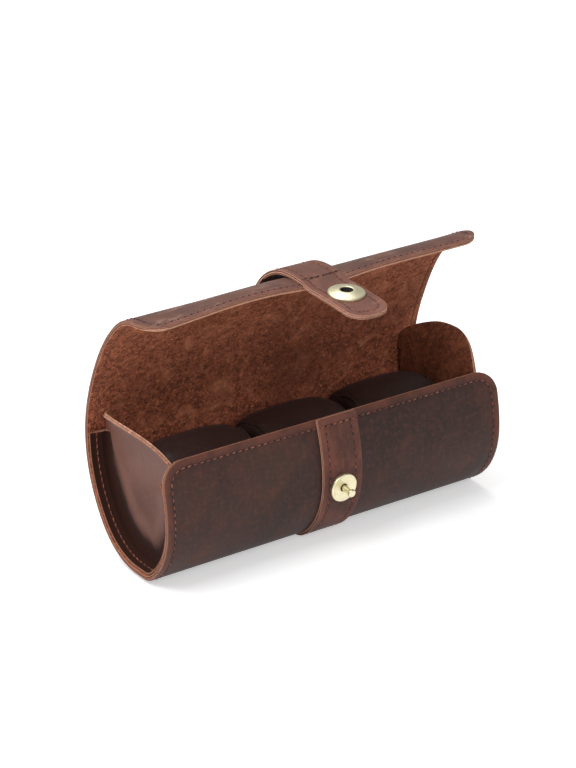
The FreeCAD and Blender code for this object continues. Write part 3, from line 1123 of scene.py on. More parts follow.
def rounded_profile(corners: Sequence[Triple]) -> list[Pair]:
    """Profile with each corner cut by a quadratic curve.

    Args:
        corners: radius, height and rounding of each corner.

    Returns:
        Pairs of radius and height.
    """
    corner = np.array([entry[:2] for entry in corners])
    found: list[Pair] = []
    for k, (_, _, size) in enumerate(corners):
        if size <= 0 or k in (0, len(corners) - 1):
            found.append(tuple(corner[k]))
            continue
        start, stop = [corner[k] + side * min(size / np.linalg.norm(side), 0.49)
                       for side in (corner[k - 1] - corner[k], corner[k + 1] - corner[k])]
        for share in np.linspace(0, 1, 6):
            spot = (1 - share) ** 2 * start + 2 * share * (1 - share) * corner[k] + share**2 * stop
            found.append(tuple(spot))
    return found


def recalculate(piece: Piece, merge: float = 0.0) -> None:
    """Join points that lie close together and turn the faces outwards.

    Args:
        piece: the object.
        merge: distance in millimetres within which points are joined.
    """
    work = bmesh.new()
    work.from_mesh(piece.data)
    if merge:
        bmesh.ops.remove_doubles(work, verts=work.verts, dist=merge * MM)
    bmesh.ops.recalc_face_normals(work, faces=work.faces)
    work.to_mesh(piece.data)
    work.free()


# The wrap's line


@dataclass
class CaseLine:
    """The case's section: the wrap's outer face, the strap over it and the tongue.

    The section's arcs go by their lengths and radii from the front edge. A radius of zero is a straight
    part, and the third length is worked out so that the flat foot is level.
    """

    half_length: float = 97.5
    front_tilt: float = 21.5
    lengths: tuple[float, ...] = (31.0, 37.0, 0.0, 7.16, 33.25, 7.06, 51.4, 58.7, 29.0)
    radii: tuple[float, ...] = (86.0, 40.0, 11.0, 0.0, 36.0, 76.7, 65.2, 102.0, 29.0)
    toe_end: float = -9.75
    leather: float = 1.8
    lining: float = 1.2
    strap: float = 1.8
    backing: float = 1.1
    front_length: float = 22.8
    crown_length: float = 45.5
    rear_length: float = 26.2
    loop_foot_margin: float = 2.5
    loop_seam_margin: float = 6.0
    loop_lift: float = 4.2
    tongue_length: float = 39.0
    tongue_radius: float = 260.0
    tongue_lift: float = 13.0
    bend_gap: float = 0.3
    strap_step: float = 0.4
    strap_start: float = 1.0
    strap_window: int = 5
    strap_rounds: int = 3
    swell: float = 0.16
    swell_waves: tuple = ((19.0, 33.0, 0.6, 1.0), (31.0, -21.0, 2.1, 1.0), (11.0, 47.0, 4.0, 0.6))
    foot_reach: float = 80.0
    foot_run: float = 18.0
    foot_share: float = 0.45
    strap_swell_from: float = 190.0
    strap_swell_run: float = 20.0
    lift_from: float = 72.0
    lift_run: float = 42.0
    edge_run: float = 22.0
    crown_lift: float = 1.9
    crown_skew: float = 0.6
    edge_lift: float = 3.9
    edge_dip: float = 0.3
    edge_fall: float = 0.6
    edge_fall_run: float = 95.0
    edge_rise_from: float = 105.0
    edge_rise_run: float = 65.0
    held_share: float = 0.78
    held_width: float = 24.0
    cut: float = 1.2
    cut_skew: float = 1.0
    cut_from: float = 195.0
    line: ArcLine = field(init=False)
    tongue: ArcLine = field(init=False)
    band: DrawnLine = field(init=False)
    band_reach: Array = field(init=False)

    def __post_init__(self) -> None:
        """Lay the wrap, the tongue and the strap's own line."""
        heading = 1.5 * math.pi - math.radians(self.front_tilt)
        lengths = list(self.lengths)
        curves = [1 / radius if radius else 0.0 for radius in self.radii]
        turned = lengths[0] * curves[0] + lengths[1] * curves[1]
        lengths[2] = (2 * math.pi - heading - turned) * self.radii[2]
        arcs = list(zip(lengths, curves))
        toe = ArcLine.laid((0.0, 0.0), heading, arcs).at(np.array(sum(lengths[:3])))[0]
        self.line = ArcLine.laid((self.toe_end - toe[0], self.strap - toe[1]), heading, arcs)
        self.tongue = self._tongue_line()
        self.band, self.band_reach = self._strap_line()

    @property
    def wall(self) -> float:
        """Thickness of leather and lining."""
        return self.leather + self.lining

    @property
    def loose(self) -> float:
        """Thickness of the strap with its backing."""
        return self.strap + self.backing

    @property
    def bends(self) -> Triple:
        """Reaches of the three bends of the lid."""
        third = self.line.length - self.front_length
        second = third - self.crown_length
        return second - self.rear_length, second, third

    def splits(self) -> list[float]:
        """Reaches where the lid's lengths meet, halfway between bends."""
        first, second, third = self.bends
        return [(first + second) / 2, (second + third) / 2]

    def _tongue_line(self) -> ArcLine:
        """Underside of the tongue, which starts at a round nose beyond the lid's edge and is lifted."""
        nose = self.loose / 2
        edge, out = self.line.at(np.array(self.line.length))
        heading = math.atan2(out[0], -out[1])
        ahead = np.array([math.cos(heading), math.sin(heading)])
        pivot = edge + ahead * (self.bend_gap + nose) + out * nose
        lifted = heading - math.radians(self.tongue_lift)
        start = pivot - np.array([math.sin(lifted), -math.cos(lifted)]) * nose
        start = start - np.array([math.cos(lifted), math.sin(lifted)]) * nose
        rest = self.tongue_length - nose - self.bend_gap
        return ArcLine.laid(start, lifted, [(nose, 0.0), (rest, 1 / self.tongue_radius)])

    def loop_height(self, reach: Array) -> Array:
        """Underside of the strap over the wrap: its lift times sine squared, and a rise at the end.

        Args:
            reach: where.

        Returns:
            Heights over the wrap.
        """
        foot = self.bends[1] + self.loop_foot_margin
        seam = self.line.length - self.loop_seam_margin
        share = np.clip((reach - foot) / (seam - foot), 0.0, 1.0)
        return self.loop_lift * np.sin(math.pi * share) ** 2 + self.backing * eased(share)

    def _strap_line(self) -> tuple[DrawnLine, Array]:
        """Middle of the strap's outer layer from front edge to tip, softened at the lid's edge.

        Returns:
            The line, and the reach of each of its points.
        """
        reach = np.arange(0.0, self.line.length, self.strap_step)
        over = self.line.at(reach, self.loop_height(reach) + self.lifted(0.0, reach) + self.strap / 2)[0]
        beyond = np.arange(self.strap_start, self.tongue.length + 0.01, self.strap_step)
        out = self.tongue.at(beyond, self.backing + self.strap / 2)[0]
        soft = smoothed(np.concatenate([over, out]), self.strap_window, self.strap_rounds)
        return DrawnLine(soft), np.concatenate([reach, self.line.length + beyond])

    def band_length(self, reach: float) -> float:
        """Length along the strap's own line at a reach of the wrap, or beyond it on the tongue."""
        return float(np.interp(reach, self.band_reach, self.band.lengths))

    def swelling(self, x: Array, reach: Array) -> Array:
        """Slow unevenness of the hide: crossed waves of different length, faded out at the flat foot."""
        wave = sum(share * np.sin(x / across + reach / along + phase)
                   for across, along, phase, share in self.swell_waves)
        return self.swell * wave * eased(np.abs(reach - self.foot_reach) / self.foot_run - self.foot_share)

    def lifted(self, x: Array, reach: Array) -> Array:
        """Rise of the relaxed lid: eased in over its crown, more at its free edge but less at the strap.

        Args:
            x: place along the case.
            reach: place on the wrap.

        Returns:
            Heights.
        """
        before = self.line.length - reach
        rise = eased((self.lift_from - before) / self.lift_run)
        edge = eased((self.edge_run - before) / self.edge_run)
        crown = self.crown_lift + self.crown_skew * x / self.half_length
        free = self.edge_lift * eased((x + self.edge_rise_from) / self.edge_rise_run)
        free = free - self.edge_fall * eased(x / self.edge_fall_run) - self.edge_dip
        free = free * (1 - self.held_share * bell(x, self.held_width))
        return (crown + (free - crown) * edge) * rise

    def shortened(self, x: Array, reach: Array) -> Array:
        """Reach on a lid whose free edge runs askew: less by a cut that grows with x, eased in."""
        cut = self.cut + self.cut_skew * x / self.half_length
        return reach - cut * eased((reach - self.cut_from) / (self.line.length - self.cut_from))

    def wrap_place(self, x: Array, reach: Array, height: Array) -> Array:
        """Place on the wrap.

        Args:
            x: place along the case.
            reach: place on the wrap.
            height: over its outer face.

        Returns:
            Places with x, y and z.
        """
        x, reach, height = np.broadcast_arrays(x, reach, height)
        level = height + self.swelling(x, reach) + self.lifted(x, reach)
        spot, _ = self.line.at(self.shortened(x, reach), level)
        return np.concatenate([x[..., None], spot], -1)

    def band_place(self, x: Array, length: Array, height: Array) -> Array:
        """Place on the strap.

        Args:
            x: place across the strap.
            length: along its own line.
            height: over the middle of its outer layer.

        Returns:
            Places with x, y and z.
        """
        x, length, height = np.broadcast_arrays(x, length, height)
        reach = np.interp(length, self.band.lengths, self.band_reach)
        share = 1 - eased((reach - self.strap_swell_from) / self.strap_swell_run)
        spot, _ = self.band.at(length, height + self.swelling(x, reach) * share)
        return np.concatenate([x[..., None], spot], -1)


@dataclass(frozen=True)
class Bending:
    """A soft joint between two bodies: where it starts and ends along its way past the pivot."""

    first: str
    second: str
    pivot: Pair
    way: Pair
    before: float
    after: float

    def apply(self, piece: Piece) -> None:
        """Bake the piece's transform into its mesh; the piece isn't bent."""
        way = np.array(self.way) / np.hypot(*self.way)
        start = np.array(self.pivot) - way * self.before
        end = np.array(self.pivot) + way * self.after
        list(start * MM)
        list(end * MM)
        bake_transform(piece)


@dataclass
class Joints:
    """Pivots of the record's joints, in millimetres."""

    record: dict

    def pivot(self, name: str) -> Pair:
        """y and z of a joint."""
        place = next(j["pos_m"] for j in self.record["behaviour"]["joints"] if j["name"] == name)
        return place[1] / MM, place[2] / MM


@dataclass
class Kit:
    """What every sub-assembly shares: the section, the joints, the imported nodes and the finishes."""

    case: CaseLine
    joints: Joints
    nodes: dict[str, Piece]
    leather: Finish
    strap: Finish
    panel: Finish
    suede: Finish
    panel_suede: Finish
    cushion: Finish
    metal: Finish
    dark: Finish
    rust_thread: Finish
    plum_thread: Finish
    suede_thread: Finish

    def bendings(self) -> list[Bending]:
        """The lid's three bends, front to back, and the tongue's."""
        rear, crown, front = [self.joints.pivot("lid_bend_" + part) for part in ("rear", "crown", "front")]
        return [
            Bending("tray", "lid_rear", rear, (10.0, 20.0), 12.0, 8.2),
            Bending("lid_rear", "lid_crown", crown, (-0.42, 0.9), 10.0, 10.0),
            Bending("lid_crown", "lid_front", front, (-0.85, 0.52), 10.0, 8.5),
            Bending("lid_front", "tongue", self.joints.pivot("tongue_bend"), (-1.0, 0.0), 4.0, 4.0),
        ]

    def bend(self, mesh: Mesh, name: str, finish: Finish, slot: Slot, which: int,
             *nodes: str) -> None:
        """Build a mesh and hide what it replaces; it isn't bent with the joint.

        Args:
            mesh: the gathered mesh.
            name: the piece's name.
            finish: its material.
            slot: not used.
            which: number of the bending.
            nodes: what it replaces, if anything.
        """
        piece = mesh.build(name, finish)
        if nodes:
            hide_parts(*nodes)
        self.bendings()[which].apply(piece)


# The wrap


@dataclass
class WrapShell:
    """Outer leather and suede lining of tray and lid in three lengths, and their border seam."""

    kit: Kit
    corner: float = 12.0
    bevel: float = 0.4
    seam_inset: float = 4.0
    pitch: float = 3.5
    stitch: float = 2.1
    thread: float = 0.34
    slant: float = 0.12
    border_skive: float = 0.6
    border_skive_width: float = 5.0
    edge_skive: float = 1.1
    skive_length: float = 8.0
    end_inset: float = 2.2
    strap_half: float = 11.3
    strap_backed_from: float = 200.0
    panel_gap: float = 0.02
    # The lid's edge is paler: painted sheen with some wear.
    wear_and_sheen_length: float = 30.0
    wear_and_sheen_run: float = 16.0
    wear_and_sheen_share: float = 0.55
    lining_shift: float = 400.0
    rungs: Sewing = Sewing(2.2, 2.4, 0.2, 1.35)
    rung_rows: Pair = (2.5, 7.0)
    rung_reach: Pair = (182.5, 206.0)

    def skived(self, reach: Array) -> Array:
        """How much thinner the lining is towards the lid's free edge."""
        return self.edge_skive * (1 - eased((self.kit.case.line.length - reach) / self.skive_length))

    def strips(self, top: float, under: float, inner: bool) -> list[Strip]:
        """The three lengths of one layer.

        Args:
            top: height of its upper face.
            under: height of its under face.
            inner: whether it's the lining, which is thinned towards its border.

        Returns:
            The strips, front to back.
        """
        case = self.kit.case
        cuts = [0.0, *case.splits(), case.line.length]
        return [Strip(
            case.wrap_place, case.half_length, cuts[k], cuts[k + 1],
            lambda reach: np.full_like(reach, top), lambda reach: under + self.skived(reach) * inner,
            free_first=k == 0, free_last=k == 2, corner=self.corner, bevel=self.bevel,
            skive=self.border_skive * inner, skive_width=self.border_skive_width,
        ) for k in range(3)]

    def outer_face(self, x: Array, reach: Array) -> Array:
        """Height of the face under the outer seam: the strap's where it crosses, else the leather's."""
        over = np.where(reach > self.strap_backed_from, self.kit.case.loose, self.kit.case.strap)
        return np.where(np.abs(x) < self.strap_half, over, 0.0)

    def inner_face(self, x: Array, reach: Array) -> Array:
        """Height of the face under the inner seam: the panels' flange where there is one, else the lining's.

        Args:
            x: place along the case.
            reach: place on the wrap.

        Returns:
            Heights.
        """
        panel = EndPanel(self.kit, 1.0, "right")
        out = np.abs(x) - panel.plane
        covered = (out > panel.fillet) & (reach > panel.front_reach) & (reach < panel.last)
        level = -self.kit.case.wall + self.skived(reach) - self.panel_gap
        return level - np.where(covered, panel.thickness * panel.thinning(out), 0.0)

    def wear_and_sheen(self, reach: Array) -> Array:
        """Share of painted sheen with some wear, towards the lid's free edge, whose upturned strip catches
        the light.
        """
        start = self.kit.case.line.length - self.wear_and_sheen_length
        return self.wear_and_sheen_share * eased((reach - start) / self.wear_and_sheen_run)

    def build(self) -> None:
        """Make the six sheets and their seams."""
        kit, case = self.kit, self.kit.case
        parts = ("tray", "lid_rear", "lid_front")
        nodes = (("tray_{}",), ("lid_rear_{}", "lid_crown_{}"), ("lid_front_{}",))
        outer_threads = (kit.rust_thread, kit.plum_thread, kit.plum_thread)
        layers = (
            ("leather", 0.0, -case.leather, kit.leather, Slot.OUTER, 1.0, self.outer_face, outer_threads),
            ("lining", -case.leather, -case.wall, kit.suede, Slot.SUEDE, -1.0, self.inner_face,
             (kit.suede_thread,) * 3),
        )
        for layer, top, under, finish, slot, side, face, threads in layers:
            inner = side < 0
            sewing = Sewing(self.pitch, self.stitch, self.thread, self.slant * side)
            for k, strip in enumerate(self.strips(top, under, inner)):
                mesh, seam = Mesh(), Mesh()
                strip.add_to(mesh, self.lining_shift * inner, None if inner else self.wear_and_sheen)
                hidden = [node.format(layer) for node in nodes[k]]
                kit.bend(mesh, f"wrap_{layer}_{parts[k]}", finish, slot, k, *hidden)
                sewing.sew(seam, strip.place, strip.seam(self.seam_inset, self.end_inset), face, side)
                if inner and k == 1:
                    rows = [np.array([[x, reach] for reach in self.rung_reach]) for x in self.rung_rows]
                    self.rungs.sew(seam, strip.place, rows, face, side)
                kit.bend(seam, f"seam_{layer}_{parts[k]}", threads[k], slot, k)


@dataclass
class StrapBand:
    """The closing strap from the front edge to the tongue's tip, with its backing and seams."""

    kit: Kit
    half_width: float = 11.25
    bevel: float = 0.32
    corner: float = 1.2
    tip_corner: float = 9.0
    lock_hole: float = 3.85
    seam_inset: float = 3.8
    groove_depth: float = 0.22
    thread_sink: float = 0.1
    step: float = 2.0
    columns: int = 13
    tongue_margin: float = 12.0
    backing_margin: float = 8.0
    backing_skive: float = 0.6
    # The loop's top is paler: painted sheen with some wear.
    wear_and_sheen_margin: float = 5.0
    wear_and_sheen_run: float = 20.0
    wear_and_sheen_share: float = 0.45
    shift: float = 800.0
    backing_shift: float = 1200.0
    sewing: Sewing = Sewing(3.7, 2.2, 0.32, 0.12)

    def splits(self) -> list[float]:
        """Lengths along the strap where its pieces meet."""
        case = self.kit.case
        marks = [*case.splits(), case.bends[2] + self.tongue_margin]
        return [0.0] + [case.band_length(mark) for mark in marks] + [case.band.length]

    def strip(self, first: float, last: float, top: float, under: float, number: int) -> Strip:
        """One length of one layer.

        Args:
            first: its first length along the strap.
            last: its last one.
            top: height of its upper face.
            under: height of its under face.
            number: of the length; the last one is the tongue, with the press lock's hole.

        Returns:
            The strip.
        """
        case, tip = self.kit.case, number == 3
        lock = case.band_length(case.line.length + PressLock.cap_reach - case.bend_gap)
        return Strip(
            case.band_place, self.half_width, first, last,
            lambda reach: np.full_like(reach, top), lambda reach: np.full_like(reach, under),
            free_first=number == 0, free_last=tip, corner=self.tip_corner if tip else self.corner,
            bevel=self.bevel, groove_inset=self.seam_inset, groove_depth=self.groove_depth, step=self.step,
            columns=self.columns, hole=(lock, self.lock_hole) if tip else None,
        )

    def wear_and_sheen(self, length: Array) -> Array:
        """Share of painted sheen with some wear, over the lid, where the loop's top catches the light."""
        start = self.kit.case.band_length(self.kit.case.bends[1] - self.wear_and_sheen_margin)
        return self.wear_and_sheen_share * eased((length - start) / self.wear_and_sheen_run)

    def build(self) -> None:
        """Make the strap's four lengths, the backing of its loose end, and the seams."""
        kit, case = self.kit, self.kit.case
        cuts, half = self.splits(), case.strap / 2
        rows = (
            ("tray", ("strap_tray",)),
            ("rear", ("strap_rear",)),
            ("crown", ("strap_crown", "strap_front")),
            ("tongue", ("tongue_leather",)),
        )
        for k, (name, nodes) in enumerate(rows):
            strip = self.strip(cuts[k], cuts[k + 1], half, -half, k)
            mesh, seam = Mesh(), Mesh()
            strip.add_to(mesh, self.shift, self.wear_and_sheen)
            kit.bend(mesh, "strap_band_" + name, kit.strap, Slot.STRAP, k, *nodes)
            self.sewing.sew(seam, strip.place, strip.seam(self.seam_inset),
                            lambda x, reach: np.full_like(x, half - self.thread_sink), 1.0)
            kit.bend(seam, "strap_seam_" + name, kit.rust_thread, Slot.STRAP, k)
        start = case.band_length(case.bends[2] - self.backing_margin)
        loose = ((2, start, "loop", "strap_front_lining"), (3, cuts[3], "tongue", "tongue_lining"))
        for k, low, name, node in loose:
            strip = self.strip(low, cuts[k + 1], -half, -half - case.backing, k)
            strip.skive = self.backing_skive
            mesh = Mesh()
            strip.add_to(mesh, self.backing_shift)
            kit.bend(mesh, "strap_backing_" + name, kit.strap, Slot.STRAP, k, node)


@dataclass
class PressLock:
    """Stud on the front wall and cap on the tongue, both turned in pale gold.

    Each profile is a closed row of radius, height and rounding of its corners.
    """

    kit: Kit
    stud_reach: float = 35.4
    stud_seat: float = 0.4
    cap_reach: float = 16.8
    cap_seat: float = 0.15
    disc: tuple = (
        (1.95, 0.0, 0.0), (7.3, 0.0, 0.1), (7.3, 1.8, 0.75), (6.1, 1.8, 0.35), (5.8, 1.6, 0.35),
        (2.7, 1.5, 0.3), (1.95, 1.25, 0.3), (1.95, 0.0, 0.0),
    )
    post: tuple = (
        (0.0, 0.85, 0.0), (1.5, 0.85, 0.1), (1.5, 3.4, 0.9), (1.3, 5.0, 0.9), (1.45, 6.1, 0.4),
        (2.0, 6.7, 0.35), (2.0, 7.7, 0.4), (1.6, 8.2, 0.3), (0.0, 8.2, 0.0),
    )
    dome: tuple = (
        (4.25, 0.0, 0.0), (8.85, 0.0, 0.15), (8.85, 1.05, 0.4), (8.3, 1.4, 0.4), (6.6, 1.75, 1.2),
        (4.7, 2.3, 1.0), (3.5, 2.45, 0.35), (3.05, 2.3, 0.2), (3.05, 1.95, 0.1), (4.25, 1.95, 0.1),
        (4.25, 0.0, 0.0),
    )
    tube_rise: float = 1.9
    tube_foot: float = -0.5
    tube_lining_foot: float = -0.45

    @staticmethod
    def ring(inner: float, outer: float, foot: float, top: float,
             size: float = 0.0) -> list[Pair]:
        """Closed profile of a ring between two radii and two heights; all corners but the first rounded."""
        corners = ((inner, foot), (outer, foot), (outer, top), (inner, top), (inner, foot))
        return rounded_profile([(*corner, size) for corner in corners])

    def stud(self) -> None:
        """Nearly flat base disc, the post that stands in its hole and a ring of painted shade down in the
        hole.
        """
        case, kit = self.kit.case, self.kit
        place = case.line.at(np.array(self.stud_reach), case.strap - self.stud_seat)
        self.turned((
            ("stud_disc", rounded_profile(self.disc), "stud_base", kit.metal),
            ("stud_pin", rounded_profile(self.post), "stud_post", kit.metal),
            ("stud_hollow", self.ring(1.4, 2.0, 0.9, 1.0), None, kit.dark),
        ), *place, "tray")

    def turned(self, rows: Sequence[tuple], spot: Array, out: Array, body: str) -> None:
        """Make turned pieces on one axis.

        Args:
            rows: name, profile, the node that the piece replaces or None, and finish of each.
            spot: y and z of a point on the axis.
            out: its direction.
            body: what they ride on.
        """
        for name, profile, node, finish in rows:
            mesh = Mesh()
            mesh.add(*lathe(profile, np.array([0.0, *spot]), np.array([0.0, *out])))
            piece = mesh.build(name, finish)
            recalculate(piece)
            if node:
                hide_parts(node)
            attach(piece, body)

    def cap(self) -> None:
        """Cap with a flat rim and a low dome, the tube through the tongue, and its spring ring and the
        inside of the tube in painted shade.
        """
        case, kit = self.kit.case, self.kit
        place = case.tongue.at(np.array(self.cap_reach - case.bend_gap))
        low = case.loose - self.cap_seat
        top = low + self.tube_rise
        dome = rounded_profile([(radius, low + height, size) for radius, height, size in self.dome])
        foot = self.tube_lining_foot
        inside = [(3.47, top), (3.47, foot), (3.4, foot), (3.4, top), (3.47, top)]
        self.turned((
            ("cap_spring", self.ring(2.95, 3.4, 1.6, 1.9), None, kit.dark),
            ("cap_disc", dome, "cap_dome", kit.metal),
            ("cap_tube", self.ring(3.5, 4.2, self.tube_foot, top, 0.1), "cap_socket", kit.metal),
            ("cap_inside", inside, None, kit.dark),
        ), *place, "tongue")

    def build(self) -> None:
        """Make both halves of the lock and finish the washers."""
        self.stud()
        self.cap()
        for node in ("stud_washer", "cap_washer"):
            for entry in self.kit.nodes[node].material_slots:
                entry.material = self.kit.metal


# End panels


@dataclass
class EndPanel:
    """One end panel: a leaning plate with an arched top and a flange glued inside the wrap."""

    kit: Kit
    side: float
    name: str
    plane: float = 85.5
    front_reach: float = 9.0
    back_margin: float = 5.3
    crown: Pair = (6.25, 77.0)
    shoulder: float = 2.4
    straight: float = 49.8
    lean_radius: float = 34.0
    fillet: float = 4.0
    flange: float = 11.3
    thickness: float = 2.0
    suede: float = 0.8
    bevel: float = 0.3
    thin_share: float = 0.55
    thin_from: float = 5.0
    thin_run: float = 5.0
    crease: float = 0.12
    crease_share: float = 0.2
    crease_width: float = 0.05
    middle: Pair = (6.25, 38.0)
    squashed: float = 0.9
    squash_anchor: float = 8.0
    wall: float = 36.5
    wall_hold: float = 18.0
    wall_give: float = 0.1
    end_lines: tuple[float, ...] = (0.0, 0.12, 0.3, 1.2)
    even_margin: float = 2.6
    even_lines: int = 90
    arch_points: int = 30
    fold_points: int = 8
    edge_points: tuple[float, ...] = (0.33, 0.66)
    even_share: float = 0.84
    even_depth: float = 20.0
    outer_stops: tuple[float, ...] = (0.25, 0.5, 0.7)
    edge_stops: tuple[float, ...] = (1.2, 0.3, 0.1, 0.0)
    bound_run: float = 16.0
    bulge: float = 0.9
    bulge_inset: float = 8.5
    bulge_width: float = 4.5
    # Share of painted shade on the flange, which faces into the case; above one, so that it stays dark.
    flange_painted_shade: float = 2.0

    def thinning(self, out: Array) -> Array:
        """Share of its thickness that the flange keeps at a distance beyond the plate."""
        return 1 - self.thin_share * eased((out - self.thin_from) / self.thin_run)

    def freed(self, y: Array) -> Array:
        """Share of the lean that the back wall lets through: little at the wall, all of it in front."""
        return self.wall_give + (1 - self.wall_give) * eased((self.wall - y) / self.wall_hold)

    def leaning(self, z: Array) -> Array:
        """Angle of the lean at a height: its sine is the height over the straight part, over the radius."""
        return np.arcsin(np.clip((z - self.straight) / self.lean_radius, 0.0, 1.0))

    def leaned(self, spot: Array, depth: Array | float) -> Array:
        """Place of a point of the upright plate once the plate leans.

        Above the straight part the inner face follows a circle, and a layer at a depth outside it lies on
        the circle of that much smaller radius.

        Args:
            spot: y and z on the inner face.
            depth: distance outside the inner face.

        Returns:
            Places with x, y and z.
        """
        y, z = spot[..., 0], spot[..., 1]
        angle = self.leaning(z)
        radius = self.lean_radius - np.asarray(depth, float)
        out = self.lean_radius - radius * np.cos(angle) - depth
        level = np.where(angle > 0, self.straight + radius * np.sin(angle), z)
        freed = self.freed(y)
        x = self.side * (self.plane + depth + freed * out)
        return np.stack([x, y, z + freed * (level - z)], -1)

    @property
    def last(self) -> float:
        """Reach of the flange's upper end at the back wall."""
        return self.kit.case.bends[0] - self.back_margin

    def reaches(self) -> Array:
        """Reaches where the flange's grid lines run."""
        near = np.array(self.end_lines)
        ends = self.front_reach + self.even_margin, self.last - self.even_margin
        middle = np.linspace(*ends, self.even_lines)
        return np.concatenate([self.front_reach + near, middle, self.last - near[::-1]])

    def arch(self) -> Array:
        """Top edge from the back wall to the front wall, level at the crown.

        The back half is a power curve with the exponent of the shoulder, the front half a circle.

        Returns:
            Points as y and z.
        """
        case, count = self.kit.case, self.arch_points
        ends = (self.last, self.front_reach)
        back, front = [case.line.at(np.array(reach), -case.wall)[0] for reach in ends]
        crown = np.array(self.crown)
        turn = np.linspace(math.pi / 2, 0.0, count)
        power = 2 / self.shoulder
        shares = np.stack([np.sin(turn) ** power, np.maximum(np.cos(turn), 0.0) ** power], 1)
        behind = np.array([crown[0], back[1]]) + shares * [back[0] - crown[0], crown[1] - back[1]]
        drop, aside = crown[1] - front[1], front[0] - crown[0]
        radius = (drop**2 + aside**2) / (2 * drop)
        turn = math.asin(aside / radius) * np.linspace(0.0, 1.0, count)
        before = np.stack([crown[0] + radius * np.sin(turn), crown[1] - radius * (1 - np.cos(turn))], 1)
        return np.concatenate([behind, before[1:]])

    def outline(self) -> tuple[Array, int]:
        """Outline of the plate: along the fold, then a free edge up the wall, over the arch and down again.

        Returns:
            Points as y and z, and the count of those along the fold.
        """
        case = self.kit.case
        low = case.line.at(self.reaches(), -case.wall - self.fillet)[0]
        high = self.arch()
        rise = np.array(self.edge_points)[:, None]
        up = low[-1] + (high[0] - low[-1]) * rise
        down = high[-1] + (low[0] - high[-1]) * rise
        return np.concatenate([low, up, high, down]), len(low)

    @staticmethod
    def softened(spokes: Array) -> Array:
        """Spread the spokes of an outline evenly: the mean of 17 neighbours' angles, with the size there.

        Args:
            spokes: places on the outline from its middle.

        Returns:
            As many spokes.
        """
        angle = np.unwrap(np.arctan2(spokes[:, 1], spokes[:, 0]))
        count = len(angle)
        trend = np.arange(count) * (2 * math.pi * np.sign(angle[-1] - angle[0])) / count
        even = trend + ring_mean(angle - trend, 8)
        turn = angle % (2 * math.pi)
        order = np.argsort(turn)
        sizes = np.hypot(*spokes.T)[order]
        size = np.interp(even % (2 * math.pi), turn[order], sizes, period=2 * math.pi)
        return np.stack([np.cos(even), np.sin(even)], 1) * size[:, None]

    @staticmethod
    def painted_shade_share(height: Array, inward: Array, folded: Array, bound: Array) -> Array:
        """Share of painted shade: darker towards the foot of the plate, less over its bulge, and most along
        the fold.

        Args:
            height: z of the points.
            inward: their distance from the outline.
            folded: 1 where the outline is the fold.
            bound: share of the hold of the wrap, 0 at the fold's ends.

        Returns:
            Shares.
        """
        foot = 0.85 * eased((62.0 - height) / 45.0)
        over = 1 - 0.7 * bound * bell(inward - 11.0, 4.5)
        return foot * over + 1.6 * folded * bell(inward, 1.5 + 4 * bound)

    def plate(self, mesh: Mesh, near: float, far: float) -> None:
        """Add the plate between two depths: rings from its middle to its outline.

        A point of a ring is the middle plus its share of the way to the outline; near a free edge the two
        faces close in by a rounding.

        Args:
            mesh: where it goes.
            near: depth of the face towards the cushions.
            far: depth of the face at the open end.
        """
        outline, folded = self.outline()
        middle = np.array(self.middle)
        free = (np.arange(len(outline)) >= folded).astype(float)[None]
        inner = middle + self.softened(outline - middle) * self.even_share
        way = outline - inner
        length = np.hypot(*way.T)
        shares = np.append(np.linspace(0.14, 0.86, 9), [0.9, 0.94, 0.97, 1.0])
        inside = middle + shares[:, None, None] * (inner - middle)[None]
        even = np.repeat(np.array(self.outer_stops)[:, None], len(length), 1)
        stops = np.concatenate([even, 1 - np.array(self.edge_stops)[:, None] / length[None]])
        spot = np.concatenate([inside, inner[None] + stops[..., None] * way[None]])
        deep = length + (1 - shares[:, None]) * self.even_depth
        inward = np.concatenate([deep, (1 - stops) * length[None]])
        away = inward * free + INNER * (1 - free)
        reach = self.reaches()
        bound = np.zeros((1, len(outline)))
        bound[0, :folded] = eased(np.minimum(reach - self.front_reach, self.last - reach) / self.bound_run)
        # Painted shade: darker towards the plate's foot and along the fold.
        painted_light_and_wear = self.painted_shade_share(spot[..., 1], inward, 1 - free, bound)
        bulge = self.bulge * bound * bell(inward - self.bulge_inset, self.bulge_width)
        drop = rounding(away, self.bevel)
        rows, columns = away.shape
        last = rows * columns
        fan = [[last, k, (k + 1) % columns] for k in range(columns)]
        faces = grid_faces(rows, columns, ring=True).tolist() + fan
        places = np.concatenate([spot.reshape(-1, 2), middle[None]])
        flat = np.column_stack([places[:, 0] + 300 * self.side, places[:, 1], np.full(len(places), far)])
        starts = []
        for depth, sign in ((near, 1.0), (far, -1.0)):
            rings = self.leaned(spot, depth + sign * drop + bulge).reshape(-1, 3)
            points = np.concatenate([rings, self.leaned(middle[None], depth)])
            mesh.add(points, faces, flat, np.append(away, INNER), np.append(painted_light_and_wear, painted_light_and_wear[0].mean()))
            starts.append(mesh.count - last - 1)
        rim = (np.arange(columns) + (rows - 1) * columns)[folded - 1:]
        after = np.append(rim[1:], (rows - 1) * columns)
        near_start, far_start = starts
        quads = np.stack([rim + near_start, after + near_start, after + far_start, rim + far_start], 1)
        mesh.faces.extend(quads.tolist())

